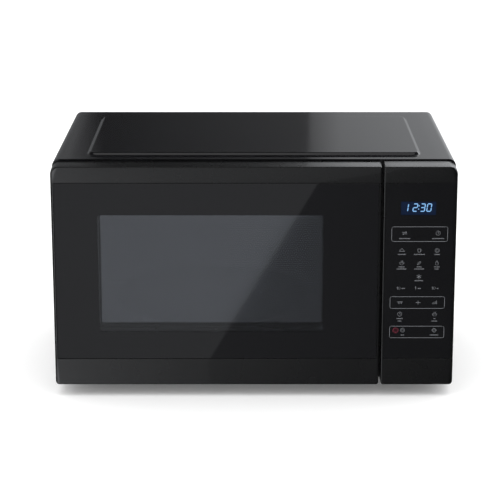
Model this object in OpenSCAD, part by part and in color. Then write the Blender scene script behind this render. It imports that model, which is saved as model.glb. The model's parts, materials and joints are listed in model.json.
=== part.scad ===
// Countertop microwave oven, one solid for each piece that comes off on a bench.
// Millimetres. The origin is on the supporting surface at the centre of the outline.
// +X is to the right of a person facing the oven, the front faces -Y, and +Z is up.

/* [Cabinet] */
// Overall width
cabinet_w = 513; // [505:1:525]
// Height of the flat top above the supporting surface
top_z = 307.5; // [300:0.5:315]
// Depth from the front face to the back edge of the folded cabinet
cabinet_d = 354; // [350:1:380]
// Radius of the two long top edges
top_edge_r = 9; // [7:0.5:11]
// Radius of the bottom corners of the front mouldings
bottom_edge_r = 4.5; // [3:0.5:6]
// Thickness of the cabinet's steel sheet
sheet_t = 1; // [0.8:0.1:1.2]
// Rise of the raised field in the top
emboss_h = 3.5; // [2:0.5:4]
// Height of the feet
foot_h = 16; // [12:1:18]
// How far the rear spacers stand behind the cabinet
spacer_d = 26; // [22:1:34]

/* [Door] */
// Position of the door's free edge
door_edge_x = 160.6; // [158:0.2:162]
// Thickness of the door
door_t = 27.5; // [27:0.5:28.5]
// Gap between the closed door and the cabinet behind it
door_seam = 2; // [1.8:0.1:2.4]
// Gap between the door and the control panel
door_gap = 3; // [2.4:0.2:4]
// Lower edge of the glass
glass_z0 = 50.7; // [49:0.1:53]
// Upper edge of the glass
glass_z1 = 282.8; // [281:0.1:284]
// Thickness of the glass
glass_t = 3.2; // [3:0.1:3.6]
// Distance of the hinge axis in from the door's side
hinge_in = 5.8; // [5.6:0.1:6]
// Distance of the hinge axis forward of the door's back
hinge_fwd = 5.2; // [5:0.1:5.4]
// Radius of the hinge pins
hinge_pin_r = 2; // [1.8:0.1:2.2]
// Radial running clearance of pins in their bores
running_gap = 0.05; // [0.02:0.01:0.08]

/* [Window] */
// Left edge of the window
window_x0 = -198; // [-202:1:-194]
// Right edge of the window
window_x1 = 88; // [84:1:92]
// Lower edge of the window
window_z0 = 87; // [84:1:90]
// Upper edge of the window
window_z1 = 241; // [238:1:244]

/* [Cooking chamber] */
// Width of the chamber
cavity_w = 340; // [336:1:342]
// Height of the chamber
cavity_h = 208; // [204:1:210]
// Depth of the chamber
cavity_d = 300; // [290:1:302]
// Height of the chamber floor
cavity_z = 60; // [58:0.5:62]
// Centre of the chamber across the oven
cavity_x = -56; // [-58:0.5:-54]

/* [Turntable] */
// Radius of the glass tray
tray_r = 135; // [130:1:138]
// Radius to the middle of the roller ring
ring_r = 102; // [96:1:106]
// Radius of each roller
roller_r = 7.5; // [7:0.1:8]
// Number of rollers
roller_n = 3; // [3:1:3]

/* [Fan] */
// Radius of the fan blades
fan_r = 42; // [38:1:45]
// Number of blades
fan_blades = 7; // [5:1:9]

/* [Display] */
// Left edge of the display lens
lens_x0 = 185.4; // [184:0.2:187]
// Right edge of the display lens
lens_x1 = 229.6; // [228:0.2:231]
// Lower edge of the display lens
lens_z0 = 241.6; // [240:0.2:243]
// Upper edge of the display lens
lens_z1 = 258.8; // [258:0.2:260]
// Height of a display digit
digit_h = 10.8; // [10:0.1:13]
// Width of a display digit
digit_w = 6.4; // [6:0.1:6.6]
// Width of one lit stroke
stroke_w = 1.25; // [1:0.05:1.4]

/* [Hidden] */
$fn = 48;

// Outline of the whole oven
overall_d = cabinet_d + spacer_d;
front_y = -overall_d / 2;
back_y = front_y + cabinet_d;
left_x = -cabinet_w / 2;
right_x = cabinet_w / 2;
face_top_z = top_z - 4;
seam_top_z = top_z - 2;

// Planes behind the front face, from the front backwards
door_back = front_y + door_t;
wrap_front = door_back + door_seam;
plate_y0 = wrap_front + 0.5;
plate_y1 = plate_y0 + sheet_t;
panel_back = wrap_front - 0.6;
panel_x0 = door_edge_x + door_gap;

// Hinge line at the left of the door
hinge_x = left_x + hinge_in;
hinge_y = door_back - hinge_fwd;
leaf_t = 1.5;
leaf_r = 4.3;
lower_leaf_z = 31;
upper_leaf_z = 287.5;
bush_r = 3.4;
bush_h = 15;
tab_h = 24;
tab_x0 = left_x + 12;

// Chamber walls
cav_x0 = cavity_x - cavity_w / 2;
cav_x1 = cavity_x + cavity_w / 2;
cav_z1 = cavity_z + cavity_h;
cav_y1 = plate_y1 + cavity_d;
spin_x = cavity_x;
spin_y = (plate_y1 + cav_y1) / 2;

// Layers of the door
frame_wall = 3;
tunnel_back = front_y + 21;
screen_t = 0.6;
pan_y = tunnel_back + screen_t;
film_t = 0.5;
cover_t = 2;
boss_w = 12;

// Latch
latch_x = 142;
hook_z = [85, 215];
hook_tip_y = front_y + 52;
bar_y0 = front_y + 6;
bar_y1 = front_y + 14;
latch_lift = 4;
spring_z0 = 246;
spring_z1 = 262;

// Finger pull under the free end of the door
pull_x0 = 86;
pull_x1 = 150;
pull_y0 = front_y + 3.5;
pull_y1 = front_y + 18;
pull_z1 = foot_h + 15;

// Rollers stand just off the chamber floor, and the tray just off the rollers
lift_gap = 0.15;
roller_z = cavity_z + roller_r + lift_gap;
roller_len = 6;
roller_in = ring_r + 5;
axle_r = 1.6;
tray_z = cavity_z + 2 * roller_r + 2 * lift_gap;
shaft_r = 3.5;

// Fan
fan_x = 190;
fan_z = 205;
fan_y = 128;

// A square-cornered block between two opposite corners
module block(low, high) {
    translate(low)
        cube([high[0] - low[0], high[1] - low[1], high[2] - low[2]]);
}

// Shapes drawn as (x, z) and made solid from y0 back to y1
module slab_y(y0, y1) {
    translate([0, y1, 0])
        rotate([90, 0, 0])
            linear_extrude(y1 - y0)
                children();
}

// Shapes drawn as (y, z) and made solid from x0 to x1
module slab_x(x0, x1) {
    translate([x0, 0, 0])
        rotate([90, 0, 90])
            linear_extrude(x1 - x0)
                children();
}

// Shapes drawn as (x, y) and made solid from z0 to z1
module slab_z(z0, z1) {
    translate([0, 0, z0])
        linear_extrude(z1 - z0)
            children();
}

// Round bars along each axis
module rod_x(y, z, x0, x1, r) {
    slab_x(x0, x1)
        translate([y, z])
            circle(r);
}

module rod_y(x, z, y0, y1, r) {
    slab_y(y0, y1)
        translate([x, z])
            circle(r);
}

module rod_z(x, y, z0, z1, r) {
    slab_z(z0, z1)
        translate([x, y])
            circle(r);
}

// Rectangle with a radius of its own on each corner: low-low, high-low, high-high, low-high
module cornered(low, high, r) {
    polygon([
        [low[0] + r[0], low[1]], [high[0] - r[1], low[1]],
        [high[0], low[1] + r[1]], [high[0], high[1] - r[2]],
        [high[0] - r[2], high[1]], [low[0] + r[3], high[1]],
        [low[0], high[1] - r[3]], [low[0], low[1] + r[0]]]);
    translate([low[0] + r[0], low[1] + r[0]])
        circle(r[0]);
    translate([high[0] - r[1], low[1] + r[1]])
        circle(r[1]);
    translate([high[0] - r[2], high[1] - r[2]])
        circle(r[2]);
    translate([low[0] + r[3], high[1] - r[3]])
        circle(r[3]);
}

// Rectangle with one radius on all corners
module rounded(low, high, r) {
    cornered(low, high, [r, r, r, r]);
}

// Rectangle with straight corners between two opposite corners
module plain(low, high) {
    translate(low)
        square([high[0] - low[0], high[1] - low[1]]);
}

// Rows and columns of slots, drawn flat, from the low corner
module slot_grid(low, columns, rows, pitch, size) {
    for (i = [0 : columns - 1])
        for (j = [0 : rows - 1])
            translate([low[0] + i * pitch[0], low[1] + j * pitch[1]])
                square(size);
}

// Cross-section of the cabinet seen from the front, drawn in by a given wall
module cabinet_section(inset) {
    cornered([left_x + inset, foot_h - (inset > 0 ? 2 : 0)],
        [right_x - inset, top_z - inset],
        [0.5, 0.5, top_edge_r - inset, top_edge_r - inset]);
}

// The raised field of the top, sloped on all four sides; drop lowers it by the sheet's thickness
module raised_field(drop) {
    x0 = -214;
    x1 = 214;
    y0 = front_y + 49;
    y1 = front_y + 308;
    slope = 9;
    low = top_z - drop;
    high = top_z + emboss_h - drop;
    intersection() {
        slab_y(y0, y1)
            polygon([[x0, low - 1], [x1, low - 1], [x1, low], [x1 - slope / 2, high],
                [x0 + slope / 2, high], [x0, low]]);
        slab_x(x0, x1)
            polygon([[y0, low - 1], [y1, low - 1], [y1, low], [y1 - slope, high],
                [y0 + slope, high], [y0, low]]);
        slab_z(low - 1, high)
            rounded([x0, y0], [x1, y1], 14);
    }
}

module cabinet_wrap() {
    color("#1b1b1e")
        difference() {
            union() {
                slab_y(wrap_front, back_y)
                    cabinet_section(0);
                raised_field(0);
            }
            slab_y(wrap_front - 1, back_y - 0.8)
                cabinet_section(sheet_t);
            raised_field(sheet_t);
            slab_y(back_y - 2, back_y + 1)
                plain([left_x + 13, foot_h - 2], [right_x - 13, top_z - 13]);
            for (side = [-1, 1]) {
                for (z = [60, 170])
                    rod_y(side * 249, z, back_y - 2, back_y + 1, 1.9);
                rod_y(side * 120, 300, back_y - 2, back_y + 1, 1.9);
            }
            slab_x(right_x - 3, right_x + 1)
                slot_grid([front_y + 215, 120], 2, 12, [34, 8], [28, 3.2]);
            slab_x(left_x - 1, left_x + 3)
                slot_grid([front_y + 250, 215], 2, 7, [34, 8], [28, 3.2]);
        }
}

module base_plate() {
    color("#a9abad")
        difference() {
            union() {
                slab_z(foot_h, foot_h + 1)
                    plain([left_x + 1.3, plate_y1 + 0.2], [right_x - 1.3, back_y - 2]);
                for (side = [-1, 1])
                    block([side * (right_x - 1.8) - 0.5, plate_y1 + 0.2, foot_h],
                        [side * (right_x - 1.8) + 0.5, back_y - 2, foot_h + 12]);
            }
            foot_places()
                rod_z(0, 0, foot_h - 1, foot_h + 2, 4);
            slab_z(foot_h - 1, foot_h + 2)
                slot_grid([118, 96], 6, 2, [12, 26], [4, 20]);
            slab_z(foot_h - 1, foot_h + 2)
                slot_grid([-150, -150], 10, 1, [20, 20], [12, 4]);
        }
}

// Where the four feet stand
module foot_places() {
    for (x = [-212, 212])
        for (y = [front_y + 70, back_y - 34])
            translate([x, y, 0])
                children();
}

module feet() {
    color("#202022")
        foot_places() {
            difference() {
                union() {
                    cylinder(h = foot_h, r1 = 14, r2 = 17);
                    rod_z(0, 0, foot_h, foot_h + 5, 4);
                }
                rod_z(0, 0, 4, foot_h + 6, 2.4);
            }
        }
}

module rear_panel() {
    color("#9fa1a3")
        difference() {
            slab_y(back_y - 1.8, back_y - 0.8)
                cornered([left_x + 1.3, foot_h + 1.3], [right_x - 1.3, top_z - 1.3],
                    [0.5, 0.5, top_edge_r - 1.3, top_edge_r - 1.3]);
            slab_y(back_y - 3, back_y + 1)
                slot_grid([fan_x - 37, fan_z - 42], 3, 11, [26, 8], [22, 3.6]);
            slab_y(back_y - 3, back_y + 1)
                slot_grid([-140, 120], 5, 10, [26, 9], [20, 3.6]);
            slab_y(back_y - 3, back_y + 1)
                slot_grid([-60, 270], 6, 2, [24, 9], [18, 3.6]);
            rod_y(205, 62, back_y - 3, back_y + 1, 8);
            for (side = [-1, 1]) {
                for (z = [60, 170])
                    rod_y(side * 249, z, back_y - 3, back_y + 1, 1.9);
                rod_y(side * 120, 300, back_y - 3, back_y + 1, 1.9);
                rod_y(side * 205, 262, back_y - 3, back_y + 1, 3);
            }
        }
}

module case_screws() {
    color("#c4c6c8")
        for (side = [-1, 1]) {
            for (z = [60, 170])
                case_screw(side * 249, z);
            case_screw(side * 120, 300);
        }
}

// A pan-head screw through the rear edge of the cabinet, with a cross slot
module case_screw(x, z) {
    difference() {
        union() {
            rod_y(x, z, back_y, back_y + 2.2, 3.8);
            rod_y(x, z, back_y - 9, back_y, 1.9);
        }
        for (turn = [0, 90])
            translate([x, back_y + 2, z])
                rotate([0, turn, 0])
                    cube([4.2, 1.6, 0.9], center = true);
    }
}

module rear_duct_cover() {
    x0 = -152;
    x1 = -4;
    z0 = 106;
    z1 = 222;
    rise = 13;
    color("#96989a")
        difference() {
            union() {
                slab_y(back_y - 0.8, back_y - 0.8 + rise)
                    rounded([x0, z0], [x1, z1], 8);
                slab_y(back_y - 0.8, back_y + 0.2)
                    rounded([x0 - 9, z0 - 9], [x1 + 9, z1 + 9], 8);
            }
            slab_y(back_y - 2, back_y - 1.8 + rise)
                rounded([x0 + 1, z0 + 1], [x1 - 1, z1 - 1], 7);
            slab_y(back_y, back_y + rise + 1)
                slot_grid([x0 + 12, z0 + 14], 4, 11, [32, 8.4], [26, 3.4]);
        }
}

module rear_spacers() {
    color("#1d1d1f")
        for (side = [-1, 1]) {
            rod_y(side * 205, 262, back_y - 0.8, back_y + 2, 13);
            translate([side * 205, back_y + 2, 262])
                rotate([-90, 0, 0])
                    cylinder(h = spacer_d - 2, r1 = 10, r2 = 8);
            rod_y(side * 205, 262, back_y - 7, back_y - 0.8, 3);
        }
}

module cord_gland() {
    color("#1a1a1a")
        difference() {
            union() {
                rod_y(205, 62, back_y - 0.8, back_y + 5, 11);
                rod_y(205, 62, back_y - 1.8, back_y - 0.8, 8);
                rod_y(205, 62, back_y - 7, back_y - 1.8, 9.5);
            }
            rod_y(205, 62, back_y - 8, back_y + 6, 4.2);
        }
}

// Slots that the two latch hooks pass through, a little wider behind the lower one
module hook_slots(y0, y1) {
    slab_y(y0, y1)
        plain([128, hook_z[0] - 14], [150, hook_z[0] + 12]);
    slab_y(y0, y1)
        plain([137, hook_z[1] - 14], [150, hook_z[1] + 12]);
}

module front_plate() {
    fit = 1.05;
    color("#1b1b1e")
        difference() {
            slab_y(plate_y0, plate_y1)
                cornered([left_x + fit, foot_h + 0.3], [right_x - fit, top_z - fit],
                    [0.5, 0.5, top_edge_r - fit, top_edge_r - fit]);
            slab_y(plate_y0 - 1, plate_y1 + 1)
                rounded([cav_x0, cavity_z], [cav_x1, cav_z1], 3);
            slab_y(plate_y0 - 1, plate_y1 + 1)
                slot_grid([panel_x0 + 22, 70], 1, 4, [0, 54], [44, 40]);
            hook_slots(plate_y0 - 1, plate_y1 + 1);
            hinge_screw_places()
                rod_y(0, 0, plate_y0 - 1, plate_y1 + 1, 1.6);
        }
}

module cavity_liner() {
    wall = 1;
    color("#b9bbba")
        difference() {
            slab_y(plate_y1, cav_y1 + wall)
                rounded([cav_x0 - wall, cavity_z - wall], [cav_x1 + wall, cav_z1 + wall], 4);
            slab_y(plate_y1 - 1, cav_y1)
                rounded([cav_x0, cavity_z], [cav_x1, cav_z1], 3);
            rod_z(spin_x, spin_y, cavity_z - 3, cavity_z + 1, 9);
            slab_x(cav_x1 - 1, cav_x1 + 3)
                plain([-54, 152], [-12, 206]);
            slab_x(cav_x1 - 1, cav_x1 + 3)
                slot_grid([78, 232], 8, 4, [5, 5], [3, 3]);
            slab_y(cav_y1 - 1, cav_y1 + 3)
                slot_grid([-130, 225], 18, 5, [6, 6], [3.6, 3.6]);
        }
}

// Screws that hold the hinge tabs on the front plate
module hinge_screw_places() {
    for (z = [lower_leaf_z + leaf_t - 16, upper_leaf_z - 8])
        for (dz = [0, 16])
            translate([tab_x0 + 9, 0, z + (z < 100 ? 8 : -14) + dz])
                children();
}

module hinge_screws() {
    color("#c9cbcd")
        hinge_screw_places() {
            rod_y(0, 0, plate_y0 - 1.5, plate_y0 - 0.7, 2.9);
            rod_y(0, 0, plate_y0 - 0.7, plate_y1 + 5, 1.6);
        }
}

// Leaf that reaches into the door, pin on the hinge line, and a tab on the front plate, far enough
// to the right that the opening door's left side passes it
module hinge(leaf_z, pin_up, tab_z0) {
    difference() {
        union() {
            slab_z(leaf_z, leaf_z + leaf_t) {
                translate([hinge_x, hinge_y])
                    circle(leaf_r);
                plain([hinge_x - leaf_r, hinge_y], [hinge_x + leaf_r, plate_y0]);
                plain([hinge_x, plate_y0 - 1.5], [tab_x0 + 1, plate_y0]);
            }
            block([tab_x0, plate_y0 - 1.5, tab_z0], [tab_x0 + 17, plate_y0, tab_z0 + tab_h]);
            rod_z(hinge_x, hinge_y, pin_up ? leaf_z + leaf_t : leaf_z - 14,
                pin_up ? leaf_z + leaf_t + 14 : leaf_z, hinge_pin_r);
        }
        hinge_screw_places() {
            rod_y(0, 0, plate_y0 - 2, plate_y0 - 0.7, 2.9);
            rod_y(0, 0, plate_y0 - 2, plate_y0 + 1, 1.6);
        }
    }
}

module lower_hinge() {
    color("#b0b2b4")
        hinge(lower_leaf_z, true, lower_leaf_z - 11);
}

module upper_hinge() {
    color("#b0b2b4")
        hinge(upper_leaf_z, false, upper_leaf_z + leaf_t + 11 - tab_h);
}

// Side view of the front mouldings: upright face, slightly sloped top
module moulding_profile(y_back) {
    edge = 0.8;
    polygon([[front_y + edge, foot_h], [y_back, foot_h], [y_back, seam_top_z],
        [front_y + edge, face_top_z], [front_y, face_top_z - edge], [front_y, foot_h + edge]]);
}

// Solid outline of the door, its back left edge rounded about the hinge line
module door_envelope() {
    intersection() {
        slab_y(front_y, door_back)
            cornered([left_x, foot_h], [door_edge_x, seam_top_z + 1],
                [bottom_edge_r, 3, 1.5, top_edge_r + 1]);
        slab_x(left_x, door_edge_x)
            moulding_profile(door_back);
        slab_z(foot_h, top_z)
            cornered([left_x, front_y], [door_edge_x, door_back], [5.5, 1.2, 1, hinge_fwd]);
    }
}

// Pocket in the door that one hinge leaf turns in
module leaf_pocket(leaf_z) {
    block([left_x - 1, hinge_y - 6.6, leaf_z - 0.6],
        [hinge_x + leaf_r + 0.9, door_back + 1, leaf_z + leaf_t + 0.6]);
}

module door_frame() {
    post_x = [-223, 111];
    post_z = [66, 262];
    color("#1f2023")
        difference() {
            union() {
                difference() {
                    door_envelope();
                    slab_y(front_y + 6, door_back + 1)
                        cornered([left_x + frame_wall, foot_h + frame_wall],
                            [door_edge_x - frame_wall, face_top_z - frame_wall],
                            [2, 2, 2, 7]);
                }
                slab_y(front_y + 5, tunnel_back)
                    difference() {
                        rounded([window_x0 - 3, window_z0 - 3], [window_x1 + 3, window_z1 + 3], 5);
                        rounded([window_x0 - 1, window_z0 - 1], [window_x1 + 1, window_z1 + 1], 4);
                    }
                intersection() {
                    door_envelope();
                    for (z = [[lower_leaf_z + leaf_t + 0.6, 19], [upper_leaf_z - 19.6, 19]])
                        block([left_x, hinge_y - 10, z[0]],
                            [left_x + boss_w, door_back, z[0] + z[1]]);
                }
                block([pull_x0 - 2.5, front_y + 4, foot_h],
                    [pull_x1 + 2.5, pull_y1 + 2.5, pull_z1 + 2.5]);
                for (x = post_x)
                    for (z = post_z)
                        rod_y(x, z, front_y + 5, pan_y, 4);
                block([latch_x - 7, front_y + 5, spring_z1], [latch_x + 7, bar_y1 + 2, spring_z1 + 3]);
                for (side = [-1, 1])
                    for (z = [120, 172])
                        block([latch_x + side * 5.2 - 1.2, front_y + 5, z],
                            [latch_x + side * 5.2 + 1.2, bar_y1 + 2, z + 12]);
            }
            slab_y(front_y - 1, front_y + glass_t)
                rounded([left_x + 3.4, glass_z0], [door_edge_x - 2.8, glass_z1], 1.2);
            slab_y(front_y, front_y + 8)
                rounded([window_x0 - 1, window_z0 - 1], [window_x1 + 1, window_z1 + 1], 4);
            leaf_pocket(lower_leaf_z);
            leaf_pocket(upper_leaf_z);
            rod_z(hinge_x, hinge_y, lower_leaf_z + leaf_t, lower_leaf_z + leaf_t + 17, bush_r);
            rod_z(hinge_x, hinge_y, upper_leaf_z - 17, upper_leaf_z, bush_r);
            slab_z(foot_h - 1, pull_z1)
                rounded([pull_x0, pull_y0 + 2.5], [pull_x1, pull_y1], 4);
            for (x = post_x)
                for (z = post_z)
                    rod_y(x, z, front_y + 9, door_back, 1.5);
        }
}

module hinge_bushes() {
    color("#e8e6df")
        for (z0 = [lower_leaf_z + leaf_t + 0.8, upper_leaf_z - 0.8 - bush_h])
            difference() {
                rod_z(hinge_x, hinge_y, z0, z0 + bush_h, bush_r);
                rod_z(hinge_x, hinge_y, z0 - 1, z0 + bush_h + 1, hinge_pin_r + running_gap);
            }
}

module door_glass() {
    color("#0d0d10")
        slab_y(front_y, front_y + glass_t)
            rounded([left_x + 3.9, glass_z0 + 0.5], [door_edge_x - 3.3, glass_z1 - 0.5], 1);
}

module door_screen() {
    color("#6d6f72")
        slab_y(tunnel_back, tunnel_back + screen_t)
            rounded([window_x0 - 8, window_z0 - 8], [window_x1 + 8, window_z1 + 8], 2);
}

module door_choke_pan() {
    low = [cav_x0 - 15, cavity_z - 14];
    high = [cav_x1 + 15, cav_z1 + 14];
    color("#9b9da0")
        difference() {
            slab_y(pan_y - 11, pan_y + 1)
                rounded(low, high, 4);
            slab_y(pan_y - 12, pan_y)
                rounded([low[0] + 1, low[1] + 1], [high[0] - 1, high[1] - 1], 3);
            slab_y(pan_y - 1, pan_y + 2)
                rounded([window_x0 - 2, window_z0 - 2], [window_x1 + 2, window_z1 + 2], 4);
            for (x = [-223, 111])
                for (z = [66, 262])
                    rod_y(x, z, pan_y - 1, pan_y + 2, 1.5);
        }
}

module door_screws() {
    color("#c9cbcd")
        for (x = [-223, 111])
            for (z = [66, 262]) {
                rod_y(x, z, pan_y + 1, pan_y + 2.4, 3);
                rod_y(x, z, pan_y - 9, pan_y + 1, 1.5);
            }
}

module door_inner_film() {
    color("#30343a")
        slab_y(pan_y + 1, pan_y + 1 + film_t)
            rounded([window_x0 - 8, window_z0 - 8], [window_x1 + 8, window_z1 + 8], 2);
}

module door_inner_cover() {
    notch_x = left_x + boss_w + 0.6;
    color("#151517")
        difference() {
            union() {
                slab_y(door_back - cover_t, door_back)
                    cornered([left_x + frame_wall + 0.4, foot_h + frame_wall + 0.4],
                        [door_edge_x - frame_wall - 0.4, face_top_z - frame_wall - 0.4],
                        [2, 2, 2, 7]);
                slab_y(pan_y + 1 + film_t, door_back - cover_t)
                    rounded([window_x0 - 5, window_z0 - 5], [window_x1 + 5, window_z1 + 5], 6);
            }
            slab_y(pan_y, door_back + 1)
                rounded([window_x0 - 2, window_z0 - 2], [window_x1 + 2, window_z1 + 2], 4);
            block([left_x, door_back - 5, lower_leaf_z - 1],
                [notch_x, door_back + 1, lower_leaf_z + leaf_t + 20.2]);
            block([left_x, door_back - 5, upper_leaf_z - 20.2],
                [notch_x, door_back + 1, upper_leaf_z + leaf_t + 1]);
            block([pull_x0 - 3, door_back - 5, foot_h], [pull_x1 + 3, door_back + 1, foot_h + 4]);
            for (z = hook_z)
                slab_y(door_back - 5, door_back + 1)
                    plain([latch_x - 3.5, z - 6], [latch_x + 3.5, z + 6 + latch_lift]);
        }
}

// Upright bar in the door's free side with two hooks that reach into the cabinet
module latch_bar() {
    color("#e4e2dc")
        union() {
            block([latch_x - 3, bar_y0, 68], [latch_x + 3, bar_y1, spring_z0 - 2]);
            rod_z(latch_x, (bar_y0 + bar_y1) / 2, spring_z0 - 2, spring_z0 + 8, 1.6);
            for (z = hook_z) {
                block([latch_x - 2, bar_y1 - 1, z - 5], [latch_x + 2, hook_tip_y, z + 5]);
                block([latch_x - 2, hook_tip_y - 6, z - 10], [latch_x + 2, hook_tip_y, z]);
            }
            block([latch_x - 12, hook_tip_y - 3, hook_z[0] - 5],
                [latch_x, hook_tip_y, hook_z[0] + 5]);
        }
}

// Coil spring that pushes the latch bar down: a round wire swept along a helix
module latch_spring() {
    turns = 6;
    steps = 14;
    sides = 8;
    coil_r = 2.9;
    wire_r = 0.4;
    rings = turns * steps;
    rise = (spring_z1 - spring_z0 - 2 * wire_r) / rings;
    points = [
        for (i = [0 : rings])
            for (k = [0 : sides - 1])
                let (a = i * 360 / steps, b = k * 360 / sides, r = coil_r + wire_r * cos(b))
                    [r * cos(a), r * sin(a), wire_r + i * rise + wire_r * sin(b)]];
    walls = [
        for (i = [0 : rings - 1])
            for (k = [0 : sides - 1])
                let (n = (k + 1) % sides)
                    [i * sides + k, i * sides + n, (i + 1) * sides + n, (i + 1) * sides + k]];
    ends = [
        [for (k = [sides - 1 : -1 : 0]) k],
        [for (k = [0 : sides - 1]) rings * sides + k]];
    color("#c0c2c4")
        translate([latch_x, (bar_y0 + bar_y1) / 2, spring_z0])
            polyhedron(points, concat(walls, ends));
}

// Bracket behind the front plate with a ledge for each hook
module latch_board() {
    web_x = 152;
    color("#d9d7d0")
        difference() {
            union() {
                block([122, plate_y1 + 0.2, 58], [web_x + 2, plate_y1 + 2.2, 240]);
                block([web_x, plate_y1 + 0.2, 58], [web_x + 2, hook_tip_y + 22, 240]);
                for (z = hook_z)
                    block([latch_x - 4, hook_tip_y - 13, z - 24], [web_x, hook_tip_y - 8, z - 8]);
            }
            hook_slots(plate_y1 - 1, plate_y1 + 3);
        }
}

// Snap switch with two terminals; its plunger comes out of the face towards the door
module snap_switch(x, z) {
    y0 = hook_tip_y + 4;
    difference() {
        block([x - 5, y0, z - 14], [x + 5, y0 + 16, z + 14]);
        rod_y(x, z, y0 - 1, y0 + 6, 1.5 + running_gap);
    }
    for (dz = [-9, 9])
        block([x - 0.4, y0 + 16, z + dz - 3.2], [x + 0.4, y0 + 23, z + dz + 3.2]);
}

module switch_plunger(x, z) {
    rod_y(x, z, hook_tip_y + 0.3, hook_tip_y + 8, 1.5);
}

module primary_switch() {
    color("#2b2b2b")
        snap_switch(latch_x, hook_z[1]);
}

module secondary_switch() {
    color("#2b2b2b")
        snap_switch(latch_x + 1, hook_z[0]);
}

module monitor_switch() {
    color("#2b2b2b")
        snap_switch(latch_x - 9.5, hook_z[0]);
}

module primary_plunger() {
    color("#c9302c")
        switch_plunger(latch_x, hook_z[1]);
}

module secondary_plunger() {
    color("#c9302c")
        switch_plunger(latch_x + 1, hook_z[0]);
}

module monitor_plunger() {
    color("#c9302c")
        switch_plunger(latch_x - 9.5, hook_z[0]);
}

// Solid outline of the control panel, square against the door gap
module panel_envelope() {
    intersection() {
        slab_y(front_y, panel_back)
            cornered([panel_x0, foot_h], [right_x, seam_top_z + 1],
                [3, bottom_edge_r, top_edge_r + 1, 1.5]);
        slab_x(panel_x0, right_x)
            moulding_profile(panel_back);
        slab_z(foot_h, top_z)
            cornered([panel_x0, front_y], [right_x, panel_back], [1.2, 5.5, 1.2, 1]);
    }
}

module panel_housing() {
    color("#18181b")
        difference() {
            panel_envelope();
            slab_y(front_y + 3.2, panel_back + 1)
                cornered([panel_x0 + 2.5, foot_h + 2.5], [right_x - 2.5, face_top_z - 2.5],
                    [2, 3, 7, 2]);
            slab_y(front_y - 1, front_y + 1)
                rounded([panel_x0 + 2.2, glass_z0], [right_x - 3.4, glass_z1], 1.2);
            slab_y(front_y - 1, front_y + 4)
                plain([lens_x0 - 0.6, lens_z0 - 0.6], [lens_x1 + 0.6, lens_z1 + 0.6]);
        }
}

module panel_overlay() {
    color("#141416")
        difference() {
            slab_y(front_y + 0.1, front_y + 1)
                rounded([panel_x0 + 2.6, glass_z0 + 0.4], [right_x - 3.8, glass_z1 - 0.4], 1);
            slab_y(front_y - 1, front_y + 2)
                plain([lens_x0, lens_z0], [lens_x1, lens_z1]);
        }
}

module display_lens() {
    color("#0a1020")
        slab_y(front_y + 0.2, front_y + 2.6)
            plain([lens_x0 + 0.1, lens_z0 + 0.1], [lens_x1 - 0.1, lens_z1 - 0.1]);
}

// One lit stroke of a digit between two points, with pointed ends
module stroke(a, b) {
    t = stroke_w / 2;
    along = (b - a) / norm(b - a);
    across = [-along[1], along[0]];
    polygon([a, a + t * (along + across), b + t * (across - along), b,
        b - t * (along + across), a + t * (along - across)]);
}

// Seven strokes in the order top, upper right, lower right, bottom, lower left, upper left, middle
module digit(lit) {
    w = digit_w - stroke_w;
    h = digit_h / 2 - stroke_w / 2;
    g = 0.12;
    ends = [
        [[g, 2 * h], [w - g, 2 * h]], [[w, h + g], [w, 2 * h - g]], [[w, g], [w, h - g]],
        [[g, 0], [w - g, 0]], [[0, g], [0, h - g]], [[0, h + g], [0, 2 * h - g]],
        [[g, h], [w - g, h]]];
    for (i = [0 : 6])
        if (lit[i] == 1)
            stroke(ends[i][0], ends[i][1]);
}

// Clock reading of half past twelve, leaning like a seven-segment display
module display_segments() {
    lean = 0.13;
    base_z = lens_z0 + 4.8;
    digits = [
        [192.4, [0, 1, 1, 0, 0, 0, 0]], [200.2, [1, 1, 0, 1, 1, 0, 1]],
        [209.7, [1, 1, 1, 1, 0, 0, 1]], [217.7, [1, 1, 1, 1, 1, 1, 0]]];
    color("#9fd0f5")
        slab_y(front_y + 0.1, front_y + 0.2) {
            for (d = digits)
                translate([d[0] - (d[0] < 195 ? digit_w - 2 * stroke_w : 0), base_z])
                    multmatrix([[1, lean, 0, 0], [0, 1, 0, 0], [0, 0, 1, 0], [0, 0, 0, 1]])
                        digit(d[1]);
            for (z = [2.9, 7.1])
                translate([207.2 + lean * z, base_z + z])
                    square(stroke_w, center = true);
        }
}

module touch_board() {
    color("#1d5c3a")
        union() {
            block([panel_x0 + 8, front_y + 3.4, 78], [right_x - 8, front_y + 4.6, 262]);
            block([lens_x0, front_y + 4.6, lens_z0 - 4], [lens_x1, front_y + 8.6, lens_z1 + 2]);
            block([200, front_y + 4.6, 120], [218, front_y + 7.2, 138]);
        }
}

module power_board() {
    y = front_y + 13;
    color("#20693f")
        union() {
            block([panel_x0 + 10, y, 66], [right_x - 10, y + 1.6, 232]);
            block([180, y + 1.6, 190], [212, y + 13.6, 220]);
            block([220, y + 1.6, 150], [238, y + 12.6, 176]);
            block([220, y + 1.6, 112], [238, y + 12.6, 138]);
            rod_y(192, 162, y + 1.6, y + 13, 7);
            rod_y(192, 140, y + 1.6, y + 11, 5);
            block([182, y + 1.6, 82], [236, y + 9.6, 96]);
        }
}

module waveguide() {
    x0 = cav_x1 + 1.2;
    x1 = cav_x1 + 34;
    color("#a5a7a9")
        difference() {
            block([x0, -70, 146], [x1, 52, 214]);
            block([x0 - 1, -69, 147], [x1 - 1, 51, 213]);
            rod_x(14, 182, x1 - 2, x1 + 1, 15);
        }
}

module waveguide_cover() {
    color("#cbbf9f")
        block([cav_x1 - 0.6, -60, 146], [cav_x1 - 0.1, -6, 212]);
}

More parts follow.
